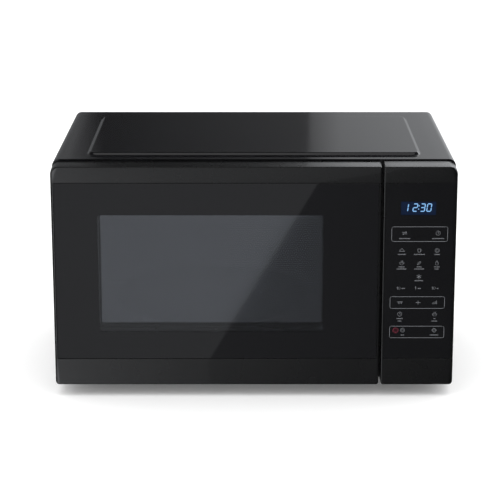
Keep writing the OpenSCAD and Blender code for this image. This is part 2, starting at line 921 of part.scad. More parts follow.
module magnetron() {
    x0 = cav_x1 + 34.2;
    color("#8e9093")
        union() {
            rod_x(14, 182, x0 - 20, x0 + 2, 7.5);
            block([x0, -22, 140], [x0 + 2, 50, 226]);
            block([x0 + 66, -22, 150], [x0 + 68, 50, 218]);
            block([x0, -24, 150], [x0 + 68, -22, 218]);
            rod_x(14, 182, x0 + 2, x0 + 66, 17);
            for (x = [12 : 8 : 52])
                block([x0 + x, -20, 154], [x0 + x + 1, 48, 212]);
            block([x0 + 68, -4, 160], [x0 + 84, 32, 204]);
        }
}

module transformer_core() {
    color("#5f6265")
        difference() {
            block([152, -70, 17.2], [236, 14, 84]);
            block([174, -71, 29], [186, 15, 72]);
            block([202, -71, 29], [214, 15, 72]);
        }
}

module transformer_windings() {
    color("#a5612f")
        for (y = [[-84, -70.2], [14.2, 28]])
            slab_y(y[0], y[1])
                difference() {
                    rounded([174.5, 27], [213.5, 74], 6);
                    rounded([187, 36], [201, 65], 2);
                }
}

module capacitor() {
    color("#b4b6b8")
        union() {
            slab_y(62, 140)
                rounded([138, 20], [182, 52], 15.9);
            for (x = [150, 170])
                block([x - 0.4, 54, 33], [x + 0.4, 62, 39]);
        }
}

module capacitor_clamp() {
    color("#9a9c9e")
        difference() {
            union() {
                slab_y(94, 108)
                    rounded([136.6, 18.6], [183.4, 53.4], 17.2);
                block([183, 94, 17.1], [200, 108, 18.6]);
                block([120, 94, 17.1], [137, 108, 18.6]);
                block([131, 94, 17.1], [189, 108, 19.2]);
            }
            slab_y(93, 109)
                rounded([137.9, 19.9], [182.1, 52.1], 16);
        }
}

module high_voltage_diode() {
    color("#1c1c1c")
        union() {
            rod_x(46, 44, 190, 210, 4);
            rod_x(46, 44, 182, 218, 0.8);
        }
}

module noise_filter() {
    color("#23704a")
        union() {
            block([196, 60, 262], [248, 120, 263.6]);
            block([204, 66, 263.6], [222, 84, 281]);
            block([226, 66, 263.6], [242, 90, 277]);
            rod_z(214, 103, 263.6, 276, 9);
            block([240, 62, 240], [241.5, 118, 262]);
        }
}

module thermal_cutouts() {
    color("#2d2d2f")
        union() {
            for (place = [[-56, 60], [60, -40]]) {
                rod_z(place[0], place[1], cav_z1 + 1.1, cav_z1 + 3, 11);
                rod_z(place[0], place[1], cav_z1 + 3, cav_z1 + 12, 8);
            }
        }
}

module fan_shroud() {
    y = fan_y + 16;
    color("#2a2a2c")
        difference() {
            union() {
                block([138, y, 150], [248, y + 2, 258]);
                slab_y(fan_y - 10, y)
                    difference() {
                        translate([fan_x, fan_z])
                            circle(fan_r + 5);
                        translate([fan_x, fan_z])
                            circle(fan_r + 3);
                    }
            }
            rod_y(fan_x, fan_z, y - 1, y + 3, fan_r + 3);
        }
}

module fan_motor() {
    color("#7c7f82")
        union() {
            block([fan_x - 26, fan_y - 38, fan_z - 22], [fan_x + 26, fan_y - 20, fan_z + 22]);
            rod_y(fan_x, fan_z, fan_y - 20, fan_y - 12, 9);
            rod_y(fan_x, fan_z, fan_y - 12, fan_y + 8, 1.6);
            block([fan_x - 50, fan_y - 14, fan_z - 4], [fan_x - 7, fan_y - 12, fan_z + 4]);
            block([fan_x + 7, fan_y - 14, fan_z - 4], [fan_x + 50, fan_y - 12, fan_z + 4]);
            for (side = [-1, 1])
                block([fan_x + side * 49 - 1, fan_y - 14, fan_z - 4],
                    [fan_x + side * 49 + 1, fan_y + 16, fan_z + 4]);
        }
}

module fan_blade() {
    color("#d0cec8")
        translate([fan_x, fan_y, fan_z])
            rotate([90, 0, 0])
                difference() {
                    union() {
                        translate([0, 0, -9])
                            cylinder(h = 16, r = 11);
                        for (i = [0 : fan_blades - 1])
                            rotate([0, 0, i * 360 / fan_blades])
                                translate([(fan_r + 9) / 2, 0, -1])
                                    rotate([32, 0, 0])
                                        cube([fan_r - 9, 17, 1.4], center = true);
                    }
                    translate([0, 0, -8.6])
                        cylinder(h = 20, r = 1.6 + running_gap);
                }
}

module lamp_holder() {
    color("#e0ded6")
        difference() {
            union() {
                block([cav_x1 + 1.3, 72, 224], [cav_x1 + 2.8, 122, 258]);
                rod_x(98, 241, cav_x1 + 26, cav_x1 + 44, 9);
                block([cav_x1 + 2.8, 72, 224], [cav_x1 + 44, 73.5, 258]);
                block([cav_x1 + 30, 73.5, 236], [cav_x1 + 44, 92, 246]);
            }
            rod_x(98, 241, cav_x1, cav_x1 + 30, 7);
            slab_x(cav_x1, cav_x1 + 4)
                plain([76, 230], [119, 253]);
        }
}

module oven_lamp() {
    color("#fff4d6")
        union() {
            translate([cav_x1 + 5, 98, 241])
                rotate([0, 90, 0])
                    cylinder(h = 5, r1 = 5, r2 = 9.5);
            rod_x(98, 241, cav_x1 + 10, cav_x1 + 20, 9.5);
            translate([cav_x1 + 20, 98, 241])
                rotate([0, 90, 0])
                    cylinder(h = 4, r1 = 9.5, r2 = 6.8);
            rod_x(98, 241, cav_x1 + 24, cav_x1 + 30, 6.8);
        }
}

module turntable_motor() {
    color("#c2c4c6")
        union() {
            rod_z(spin_x, spin_y, cavity_z - 19, cavity_z - 3.5, 24.5);
            rod_z(spin_x, spin_y, cavity_z - 3.5, cavity_z + 9, shaft_r);
            for (side = [-1, 1])
                block([spin_x + side * 29 - 6, spin_y - 6, cavity_z - 4.5],
                    [spin_x + side * 29 + 6, spin_y + 6, cavity_z - 3.5]);
            block([spin_x - 8, spin_y - 36, cavity_z - 17], [spin_x + 8, spin_y - 22, cavity_z - 7]);
        }
}

// Drive hub with three arms that turns the tray
module turntable_coupler() {
    color("#e9e7e0")
        translate([spin_x, spin_y, 0])
            difference() {
                union() {
                    rod_z(0, 0, cavity_z + 1, cavity_z + 2.4, 15);
                    rod_z(0, 0, cavity_z + 2.4, cavity_z + 13, 8.5);
                    for (turn = [0, 120, 240])
                        rotate([0, 0, turn])
                            block([5, -3, cavity_z + 2], [17, 3, cavity_z + 12]);
                }
                rod_z(0, 0, cavity_z, cavity_z + 10, shaft_r + running_gap);
            }
}

// Glass tray with a rolled rim and three ridges that sit between the arms of the hub
module glass_tray() {
    color("#cfe4e2")
        translate([spin_x, spin_y, tray_z]) {
            rotate_extrude($fn = 96)
                polygon([[0, 0], [tray_r - 22, 0], [tray_r - 15, 1.5], [tray_r - 3, 9],
                    [tray_r, 10.5], [tray_r, 13], [tray_r - 2, 13.5], [tray_r - 5, 12.5],
                    [tray_r - 18, 5.5], [tray_r - 24, 4.2], [0, 4.2]]);
            for (turn = [60, 180, 300])
                rotate([0, 0, turn])
                    block([11, -2.4, -5], [18, 2.4, 0.1]);
        }
}

module roller_ring() {
    color("#e6e4dd")
        translate([spin_x, spin_y, 0])
            union() {
                rotate_extrude($fn = 96)
                    plain([ring_r - 3.5, roller_z - 3], [ring_r + 3.5, roller_z + 3]);
                for (i = [0 : roller_n - 1])
                    rotate([0, 0, 90 + i * 360 / roller_n]) {
                        rod_x(0, roller_z, ring_r + 3, roller_in + roller_len + 0.3, axle_r);
                        rod_x(0, roller_z, roller_in + roller_len + 0.3,
                            roller_in + roller_len + 1.5, 2.4);
                        rod_x(0, roller_z, ring_r + 3, roller_in - 0.3, 2.6);
                    }
            }
}

// One wheel of the roller ring, numbered round from the back
module roller(i) {
    color("#f0eee8")
        translate([spin_x, spin_y, 0])
            rotate([0, 0, 90 + i * 360 / roller_n])
                difference() {
                    rod_x(0, roller_z, roller_in, roller_in + roller_len, roller_r);
                    rod_x(0, roller_z, roller_in - 1, roller_in + roller_len + 1,
                        axle_r + running_gap);
                }
}

module roller_1() {
    roller(0);
}

module roller_2() {
    roller(1);
}

module roller_3() {
    roller(2);
}

cabinet_wrap();
base_plate();
rear_panel();
rear_duct_cover();
rear_spacers();
front_plate();
cavity_liner();
feet();
cord_gland();
case_screws();
upper_hinge();
lower_hinge();
hinge_screws();
panel_housing();
panel_overlay();
display_lens();
display_segments();
touch_board();
power_board();
latch_board();
primary_switch();
monitor_switch();
secondary_switch();
magnetron();
waveguide();
waveguide_cover();
transformer_core();
transformer_windings();
capacitor();
capacitor_clamp();
high_voltage_diode();
noise_filter();
thermal_cutouts();
fan_motor();
fan_shroud();
lamp_holder();
oven_lamp();
turntable_motor();
door_frame();
door_glass();
door_choke_pan();
door_screen();
door_inner_cover();
door_inner_film();
hinge_bushes();
door_screws();
latch_bar();
latch_spring();
fan_blade();
turntable_coupler();
glass_tray();
roller_ring();
roller_1();
roller_2();
roller_3();
primary_plunger();
monitor_plunger();
secondary_plunger();
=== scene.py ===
"""Countertop microwave oven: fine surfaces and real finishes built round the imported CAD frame."""
import json
import logging
import math
from dataclasses import dataclass, field
from enum import Enum
from typing import Any, Sequence

import bmesh
import bpy
import numpy as np
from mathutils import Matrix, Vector


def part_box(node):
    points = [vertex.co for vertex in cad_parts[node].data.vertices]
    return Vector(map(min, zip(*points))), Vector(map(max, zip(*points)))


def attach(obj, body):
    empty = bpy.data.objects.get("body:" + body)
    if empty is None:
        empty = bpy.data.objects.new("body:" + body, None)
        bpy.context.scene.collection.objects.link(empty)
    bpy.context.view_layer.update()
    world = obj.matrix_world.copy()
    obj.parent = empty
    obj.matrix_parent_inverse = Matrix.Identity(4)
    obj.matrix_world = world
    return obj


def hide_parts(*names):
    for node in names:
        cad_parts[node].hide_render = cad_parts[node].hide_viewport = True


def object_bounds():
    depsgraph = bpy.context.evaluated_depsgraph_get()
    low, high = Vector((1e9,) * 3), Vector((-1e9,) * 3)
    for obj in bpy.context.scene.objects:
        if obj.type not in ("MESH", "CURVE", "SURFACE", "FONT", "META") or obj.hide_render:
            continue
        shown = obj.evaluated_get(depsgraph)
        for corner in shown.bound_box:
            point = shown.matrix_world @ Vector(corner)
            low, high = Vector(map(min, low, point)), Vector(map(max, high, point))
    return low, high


LOG = logging.getLogger("oven")
MM = 0.001
MERGE = 1e-6  # metres: points nearer than this are one point

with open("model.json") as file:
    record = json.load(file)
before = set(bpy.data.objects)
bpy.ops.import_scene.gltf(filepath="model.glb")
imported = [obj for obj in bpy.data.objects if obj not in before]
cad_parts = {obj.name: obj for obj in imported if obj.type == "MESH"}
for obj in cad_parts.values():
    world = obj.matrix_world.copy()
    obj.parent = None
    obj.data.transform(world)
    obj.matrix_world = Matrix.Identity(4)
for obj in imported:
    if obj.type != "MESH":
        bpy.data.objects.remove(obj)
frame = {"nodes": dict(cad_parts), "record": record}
CAD_BOX = [[float(value) for value in corner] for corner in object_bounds()]


# ---------------------------------------------------------------------------------------------
# Finishes
# ---------------------------------------------------------------------------------------------

class Grain(Enum):
    """How a surface was made, which decides its fine relief."""

    MOULDED = "spark-eroded texture of a moulded plastic"
    PAINTED = "orange peel of a baked powder coat"
    BRUSHED = "long scratches left by rolling and brushing"
    SPANGLE = "zinc crystals"
    WOUND = "turns of fine wire laid side by side"
    STACKED = "edges of stacked sheets"
    POLISHED = "slight waviness of float glass"
    FLECKED = "tiny pits and flecks of vitreous enamel"


def linear(colour: str) -> tuple[float, float, float, float]:
    """Turns an sRGB hex colour into linear red, green, blue and alpha.

    Args:
        colour: six hex digits, with or without a leading hash.

    Returns:
        Linear values, each from 0 to 1, with alpha 1.
    """
    raw = np.array([int(colour.lstrip("#")[i:i + 2], 16) for i in (0, 2, 4)]) / 255
    flat = np.where(raw <= 0.04045, raw / 12.92, ((raw + 0.055) / 1.055) ** 2.4)
    return (*(float(value) for value in flat), 1.0)


def add_node(tree: bpy.types.NodeTree, kind: str, settings: dict[str, Any] | None = None,
             inputs: dict[Any, Any] | None = None) -> bpy.types.Node:
    """Adds a shader node with its settings and links.

    Args:
        tree: the node tree that takes the node.
        kind: Blender's name of the node type.
        settings: properties to set on the node.
        inputs: for each input, a value to set or an output socket to link from.

    Returns:
        The new node.
    """
    node = tree.nodes.new(kind)
    for key, value in (settings or {}).items():
        setattr(node, key, value)
    for key, value in (inputs or {}).items():
        if isinstance(value, bpy.types.NodeSocket):
            tree.links.new(value, node.inputs[key])
        else:
            node.inputs[key].default_value = value
    return node


@dataclass(frozen=True)
class Finish:
    """A real surface: what it is made of, how it was made and what that gives the eye."""

    name: str
    colour: str
    second: str
    grain: Grain
    roughness: tuple[float, float]
    patch_mm: float = 25.0
    grain_mm: float = 0.8
    depth_mm: float = 0.02
    metallic: float = 0.0
    ior: float = 1.5
    coat: float = 0.0
    clear: float = 0.0
    clear_tint: str = "ffffff"
    glow: str = ""
    glow_strength: float = 0.0
    stretch: tuple[float, float, float] = (1.0, 1.0, 1.0)

    def relief(self, tree: bpy.types.NodeTree, place: bpy.types.NodeSocket) -> bpy.types.NodeSocket:
        """Height pattern of the grain.

        Args:
            tree: the material's node tree.
            place: object coordinates, stretched along the grain.

        Returns:
            The socket that carries the height.
        """
        fine = 1000 / self.grain_mm
        if self.grain in (Grain.WOUND, Grain.STACKED):
            return add_node(tree, "ShaderNodeTexWave", {"bands_direction": "Y"},
                            {"Vector": place, "Scale": fine / 6.28, "Distortion": 0.15,
                             "Detail": 1.0}).outputs["Fac"]
        if self.grain is Grain.SPANGLE:
            return add_node(tree, "ShaderNodeTexVoronoi", None,
                            {"Vector": place, "Scale": fine}).outputs["Distance"]
        detail = {Grain.MOULDED: 4.0, Grain.PAINTED: 1.0, Grain.BRUSHED: 3.0,
                  Grain.POLISHED: 0.0, Grain.FLECKED: 6.0}[self.grain]
        return add_node(tree, "ShaderNodeTexNoise", None,
                        {"Vector": place, "Scale": fine, "Detail": detail}).outputs[0]

    def patches(self, tree: bpy.types.NodeTree,
                place: bpy.types.NodeSocket) -> bpy.types.NodeSocket:
        """Slow pattern that shifts the colour and the gloss from place to place.

        Args:
            tree: the material's node tree.
            place: object coordinates.

        Returns:
            The socket that carries the pattern, mostly from 0.3 to 0.7.
        """
        if self.grain is Grain.SPANGLE:
            return add_node(tree, "ShaderNodeTexVoronoi", None,
                            {"Vector": place, "Scale": 1000 / self.patch_mm}).outputs["Color"]
        return add_node(tree, "ShaderNodeTexNoise", None,
                        {"Vector": place, "Scale": 1000 / self.patch_mm, "Detail": 3.0,
                         "Roughness": 0.6}).outputs[0]

    def material(self) -> bpy.types.Material:
        """Builds the material, unless one is already built for this finish.

        The slow pattern mixes the two colours and moves the roughness between its two ends,
        and the grain's height becomes a bump.

        Returns:
            The material.
        """
        ready = bpy.data.materials.get(self.name)
        if ready is not None:
            return ready
        made = bpy.data.materials.new(self.name)
        made.use_nodes = True
        tree = made.node_tree
        tree.nodes.clear()
        spot = add_node(tree, "ShaderNodeTexCoord").outputs["Object"]
        along = add_node(tree, "ShaderNodeMapping", None,
                         {"Vector": spot, "Scale": self.stretch}).outputs["Vector"]
        patch = self.patches(tree, spot)
        spread = add_node(tree, "ShaderNodeMapRange", None,
                          {"Value": patch, "From Min": 0.3, "From Max": 0.7}).outputs["Result"]
        tone = add_node(tree, "ShaderNodeMix", {"data_type": "RGBA"},
                        {0: spread, 6: linear(self.colour), 7: linear(self.second)}).outputs[2]
        gloss = add_node(tree, "ShaderNodeMapRange", None,
                         {"Value": patch, "From Min": 0.3, "From Max": 0.7,
                          "To Min": self.roughness[0],
                          "To Max": self.roughness[1]}).outputs["Result"]
        bump = add_node(tree, "ShaderNodeBump", None,
                        {"Height": self.relief(tree, along), "Distance": self.depth_mm * MM,
                         "Strength": 1.0}).outputs["Normal"]
        values = {"Base Color": tone, "Roughness": gloss, "Normal": bump,
                  "Metallic": self.metallic, "Coat Weight": self.coat, "Coat Roughness": 0.03}
        if not self.metallic:
            values["IOR"] = self.ior
        if self.glow:
            values.update({"Emission Color": linear(self.glow),
                           "Emission Strength": self.glow_strength})
        shader = add_node(tree, "ShaderNodeBsdfPrincipled", None, values).outputs[0]
        if self.clear:
            through = add_node(tree, "ShaderNodeBsdfTransparent", None,
                               {"Color": linear(self.clear_tint)}).outputs[0]
            shader = add_node(tree, "ShaderNodeMixShader", None,
                              {0: 1 - self.clear, 1: through, 2: shader}).outputs[0]
        add_node(tree, "ShaderNodeOutputMaterial", None, {"Surface": shader})
        return made


# Baked powder coat on steel sheet: satin black, reflections blurred at their edges.
BLACK_PAINT = Finish("baked_black_enamel", "0d0d0f", "101012", Grain.PAINTED, (0.07, 0.10),
                     patch_mm=90, grain_mm=2.2, depth_mm=0.003)
# Moulded ABS with a fine spark-eroded texture: a soft grey sheen that fades over a hand's width.
BLACK_ABS = Finish("moulded_black_abs", "050506", "070708", Grain.MOULDED, (0.25, 0.29),
                   patch_mm=60, grain_mm=0.7, depth_mm=0.008, ior=1.54, coat=0.3)
# Printed film over the key matrix: smooth, slightly softer than glass.
KEY_FILM = Finish("smooth_touch_film", "08080a", "0a0a0c", Grain.POLISHED, (0.10, 0.14),
                  patch_mm=50, grain_mm=40, depth_mm=0.01)
# Float glass with a baked black print on its back: mirror-like and very dark.
BLACK_GLASS = Finish("black_printed_glass", "0b0b0d", "0c0c0e", Grain.POLISHED, (0.015, 0.03),
                     patch_mm=120, grain_mm=90, depth_mm=0.01, ior=1.52)
# The same glass where it isn't printed: smoked, so that the perforated screen shows through.
WINDOW_GLASS = Finish("smoked_window_glass", "0d0e11", "0e0f12", Grain.POLISHED, (0.015, 0.03),
                      patch_mm=120, grain_mm=90, depth_mm=0.01, ior=1.9, clear=0.69,
                      clear_tint="fafbfd", coat=1.0)

FINISHES: dict[str, Finish] = {
    "black_enamel_steel": BLACK_PAINT,
    "black_abs": BLACK_ABS,
    "panel_abs": BLACK_ABS,
    "panel_film": KEY_FILM,
    "black_glass": BLACK_GLASS,
    # Hot-dip galvanised sheet: grey crystals a few millimetres across, each with its own gloss.
    "galvanised_steel": Finish("hot_dip_galvanised_sheet", "9a9d9f", "a3a6a8", Grain.SPANGLE,
                               (0.38, 0.44), patch_mm=5, grain_mm=5, depth_mm=0.003,
                               metallic=1.0),
    # Vitreous enamel fired on steel: pale warm grey, glossy, with tiny flecks.
    "enamelled_chamber": Finish("vitreous_grey_enamel", "b7b9b6", "a9aba8", Grain.FLECKED,
                                (0.22, 0.3), patch_mm=5, grain_mm=1.2, depth_mm=0.01, ior=1.55),
    # Zinc-plated screws and hinges: bright, faintly bluish, with rolling marks.
    "plated_steel": Finish("zinc_plated_steel", "b9bcc0", "a4a7ac", Grain.BRUSHED, (0.28, 0.4),
                           patch_mm=6, grain_mm=1.2, depth_mm=0.006, metallic=1.0,
                           stretch=(1, 1, 0.08)),
    # Smoked acrylic over the clock, lit dimly from behind.
    "smoked_lens": Finish("smoked_display_lens", "070b16", "090e1c", Grain.POLISHED, (0.03, 0.06),
                          patch_mm=20, grain_mm=20, depth_mm=0.005, ior=1.49,
                          glow="0a3a70", glow_strength=0.12),
    # Lit segments of the clock: a cool blue light a little stronger than the room.
    "lit_segment": Finish("lit_clock_segment", "41607c", "4a6a86", Grain.POLISHED, (0.3, 0.4),
                          patch_mm=4, grain_mm=6, depth_mm=0.002, glow="86bdf4",
                          glow_strength=0.75),
    # Clear polycarbonate sheet on the inner side of the door.
    "clear_film": Finish("clear_inner_sheet", "1a1d20", "202327", Grain.POLISHED, (0.05, 0.1),
                         patch_mm=60, grain_mm=30, depth_mm=0.01, ior=1.58, clear=0.75,
                         clear_tint="dfe3e6"),
    # Punched steel sheet with a dull lustre: mirrors the studio softly between its holes.
    "perforated_steel": Finish("punched_dull_steel", "ced1d6", "d4d7db", Grain.BRUSHED,
                               (0.05, 0.08), patch_mm=30, grain_mm=4.0, depth_mm=0.001,
                               metallic=1.0),
    # Moulded polyamide and acetal: warm white, softly shiny.
    "white_nylon": Finish("white_moulded_nylon", "e3e0d8", "d8d5cc", Grain.MOULDED, (0.38, 0.48),
                          patch_mm=12, grain_mm=0.9, depth_mm=0.01, ior=1.53),
    # Pressed soda-lime glass: faint green at its edges, wavy from the mould.
    "tray_glass": Finish("pressed_tray_glass", "cfe0dc", "d8e6e3", Grain.POLISHED, (0.02, 0.05),
                         patch_mm=40, grain_mm=14, depth_mm=0.05, ior=1.52, clear=0.78,
                         clear_tint="e4f1ee"),
    # Pressed mica board: fibrous tan flakes.
    "mica": Finish("pressed_mica_board", "c4b792", "a8986f", Grain.FLECKED, (0.4, 0.6),
                   patch_mm=3, grain_mm=1.0, depth_mm=0.02, ior=1.56, stretch=(1, 0.3, 1)),
    # Glass-filled polypropylene feet and spacers: dull black.
    "foot_plastic": Finish("dull_black_polypropylene", "1b1b1d", "222225", Grain.MOULDED,
                           (0.5, 0.62), patch_mm=15, grain_mm=1.0, depth_mm=0.03, ior=1.49),
    # Glass-epoxy board under green solder mask.
    "circuit_board": Finish("green_circuit_board", "1c5a37", "246a42", Grain.FLECKED, (0.3, 0.42),
                            patch_mm=4, grain_mm=1.4, depth_mm=0.02, ior=1.55),
    # Stack of varnished silicon-steel sheets.
    "laminated_iron": Finish("varnished_iron_stack", "55585b", "6a6560", Grain.STACKED,
                             (0.4, 0.55), patch_mm=14, grain_mm=1.0, depth_mm=0.08,
                             metallic=0.9),
    # Enamelled copper wire laid turn by turn.
    "copper_winding": Finish("enamelled_copper_wire", "a45a2a", "8a4720", Grain.WOUND,
                             (0.28, 0.4), patch_mm=10, grain_mm=1.2, depth_mm=0.2,
                             metallic=0.9),
    # Extruded and stamped aluminium: pale grey with drawing marks.
    "aluminium": Finish("stamped_aluminium", "b4b6b8", "c2c4c6", Grain.BRUSHED, (0.3, 0.42),
                        patch_mm=16, grain_mm=1.0, depth_mm=0.008, metallic=1.0,
                        stretch=(1, 0.06, 1)),
    # Phenolic switch bodies and motor ends.
    "switch_black": Finish("phenolic_black", "222224", "2a2a2c", Grain.MOULDED, (0.42, 0.55),
                           patch_mm=8, grain_mm=0.6, depth_mm=0.015, ior=1.6),
    # Red acetal plungers.
    "plunger_red": Finish("red_moulded_acetal", "b32a26", "a32320", Grain.MOULDED, (0.32, 0.42),
                          patch_mm=3, grain_mm=0.5, depth_mm=0.008, ior=1.48),
    # Soda glass bulb with a warm filament behind it.
    "lamp_glass": Finish("warm_lamp_glass", "f4ead2", "fff4dc", Grain.POLISHED, (0.08, 0.14),
                         patch_mm=8, grain_mm=8, depth_mm=0.02, ior=1.52),
    # Hard-drawn spring wire.
    "spring_steel": Finish("drawn_spring_wire", "a9abae", "8f9195", Grain.BRUSHED, (0.25, 0.38),
                           patch_mm=3, grain_mm=0.5, depth_mm=0.006, metallic=1.0),
}

# Screen-printed legend ink: matt, light grey with slightly uneven cover.
INK = Finish("legend_ink_grey", "808287", "8b8d92", Grain.FLECKED, (0.55, 0.7), patch_mm=3,
             grain_mm=0.6, depth_mm=0.003)
# The same ink in crimson for the stop sign.
INK_RED = Finish("legend_ink_crimson", "781630", "841c38", Grain.FLECKED, (0.55, 0.7), patch_mm=3,
                 grain_mm=0.6, depth_mm=0.003)


# ---------------------------------------------------------------------------------------------
# Surfaces as whole arrays
# ---------------------------------------------------------------------------------------------

Solid = tuple[np.ndarray, list]
QUARTER = math.pi / 2


def mesh_of(name: str, solid: Solid) -> bpy.types.Mesh:
    """Makes a mesh of a solid.

    Args:
        name: the mesh's name.
        solid: points in millimetres and faces.

    Returns:
        The mesh, in metres.
    """
    mesh = bpy.data.meshes.new(name)
    mesh.from_pydata((np.asarray(solid[0], float) * MM).tolist(), [], solid[1])
    return mesh


def placed(name: str, data: bpy.types.ID) -> bpy.types.Object:
    """Makes an object and puts it in the scene.

    Args:
        name: the object's name.
        data: its mesh, light or camera.

    Returns:
        The object, at the origin.
    """
    made = bpy.data.objects.new(name, data)
    bpy.context.scene.collection.objects.link(made)
    return made


def mm_box(node: str) -> tuple[np.ndarray, np.ndarray]:
    """Lowest and highest corner of a CAD node in millimetres."""
    low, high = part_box(node)
    return np.array(low) / MM, np.array(high) / MM


def outline(low: Sequence[float], high: Sequence[float], radii: Sequence[float] | float,
            arc: int = 6, run: int = 4) -> np.ndarray:
    """Closed outline of a rectangle with a radius of its own on each corner.

    Each corner point is the arc's centre plus the radius times (cos, sin) of an angle that runs
    a quarter turn; straight runs are divided evenly between one arc's end and the next one's
    start.

    Args:
        low: lowest corner.
        high: highest corner.
        radii: radius on the low-low, high-low, high-high and low-high corner, or one for all.
        arc: divisions of each arc.
        run: divisions of each straight run.

    Returns:
        Points in order round the outline, 4 * (arc + run) of them, starting on the low-low arc.
    """
    low, high = np.asarray(low, float), np.asarray(high, float)
    radius = np.broadcast_to(np.asarray(radii, float), (4,))
    sign = np.array([[-1, -1], [1, -1], [1, 1], [-1, 1]], float)
    centre = np.where(sign < 0, low, high) - sign * radius[:, None]
    turn = np.radians([180, 270, 0, 90])[:, None] + np.linspace(0, QUARTER, arc + 1)
    bend = centre[:, None] + radius[:, None, None] * np.stack([np.cos(turn), np.sin(turn)], -1)
    share = (np.arange(1, run) / run)[None, :, None]
    straight = bend[:, -1:] * (1 - share) + np.roll(bend[:, :1], -1, axis=0) * share
    return np.concatenate([bend, straight], axis=1).reshape(-1, 2)


def ring_y(flat: np.ndarray, y: np.ndarray | float) -> np.ndarray:
    """Stands an (x, z) outline upright at a depth y, which may change from point to point."""
    return np.stack([flat[:, 0], np.broadcast_to(y, len(flat)), flat[:, 1]], axis=1)


def grid_faces(rows: int, columns: int, join_rows: bool, join_columns: bool) -> np.ndarray:
    """Quads of a grid of points stored row by row.

    Args:
        rows: number of rows.
        columns: number of columns.
        join_rows: whether the last row meets the first.
        join_columns: whether the last column meets the first.

    Returns:
        One row of four point numbers for each quad.
    """
    i = np.arange(rows if join_rows else rows - 1)[:, None]
    j = np.arange(columns if join_columns else columns - 1)[None, :]
    up, over = (i + 1) % rows, (j + 1) % columns
    return np.stack([i * columns + j, i * columns + over, up * columns + over, up * columns + j],
                    axis=-1).reshape(-1, 4)


def loft(rings: Sequence[np.ndarray], close: bool = False, caps: bool = True) -> Solid:
    """Surface through a row of closed rings with the same number of points.

    The surface is a function of two parameters: the place along the row and the place round
    the ring.

    Args:
        rings: the rings in order.
        close: whether the last ring joins the first, as on a frame with a hole.
        caps: whether flat faces close the two ends.

    Returns:
        Points and faces.
    """
    points = np.concatenate(rings)
    count, size = len(rings), len(rings[0])
    faces = grid_faces(count, size, close, True).tolist()
    if caps and not close:
        faces += [list(range(size))[::-1], list(range((count - 1) * size, count * size))]
    return points, faces


def lathe(profile: np.ndarray, centre: Sequence[float], steps: int) -> Solid:
    """Surface of revolution: radius times (cos, sin) of the turn, and height from the profile.

    Args:
        profile: rows of radius and height, from one pole to the other.
        centre: x and y of the axis.
        steps: divisions of the turn.

    Returns:
        Points and faces, with the poles still to be merged.
    """
    turn = np.arange(steps) * 2 * math.pi / steps
    radius, height = profile[:, :1], profile[:, 1:]
    points = np.stack([centre[0] + radius * np.cos(turn), centre[1] + radius * np.sin(turn),
                       np.broadcast_to(height, (len(profile), steps))], axis=-1).reshape(-1, 3)
    return points, grid_faces(len(profile), steps, False, True).tolist()


def smoothed(profile: np.ndarray, passes: int = 2) -> np.ndarray:
    """Rounds a profile's corners by cutting each at a quarter and three quarters of its sides.

    Args:
        profile: rows of radius and height.
        passes: how many times the corners are cut.

    Returns:
        The rounded profile, with the same two ends.
    """
    for _ in range(passes):
        near = 0.75 * profile[:-1] + 0.25 * profile[1:]
        far = 0.25 * profile[:-1] + 0.75 * profile[1:]
        inner = np.stack([near, far], axis=1).reshape(-1, 2)
        profile = np.concatenate([profile[:1], inner, profile[-1:]])
    return profile


def boxes(low: np.ndarray, high: np.ndarray) -> Solid:
    """Closed boxes between pairs of opposite corners, all at once.

    Args:
        low: one lowest corner a row.
        high: one highest corner a row.

    Returns:
        Points and faces.
    """
    low, high = np.atleast_2d(low), np.atleast_2d(high)
    pick = np.array([[0, 0, 0], [1, 0, 0], [1, 1, 0], [0, 1, 0],
                     [0, 0, 1], [1, 0, 1], [1, 1, 1], [0, 1, 1]])
    points = np.where(pick[None] == 1, high[:, None], low[:, None]).reshape(-1, 3)
    return points, box_faces(len(low))


def box_faces(count: int) -> list:
    """Six outward quads for each box, whose corners go round its bottom and then its top.

    Args:
        count: number of boxes.

    Returns:
        The faces.
    """
    quads = np.array([[0, 3, 2, 1], [4, 5, 6, 7], [0, 1, 5, 4], [1, 2, 6, 5], [2, 3, 7, 6],
                      [3, 0, 4, 7]])
    return (quads[None] + 8 * np.arange(count)[:, None, None]).reshape(-1, 4).tolist()


def joined(*solids: Solid) -> Solid:
    """Several solids as one.

    Args:
        solids: the solids, each with its points and faces.

    Returns:
        All their points, and their faces with the point numbers moved on.
    """
    points, faces, start = [], [], 0
    for solid_points, solid_faces in solids:
        points.append(solid_points)
        faces += [[index + start for index in face] for face in solid_faces]
        start += len(solid_points)
    return np.concatenate(points), faces


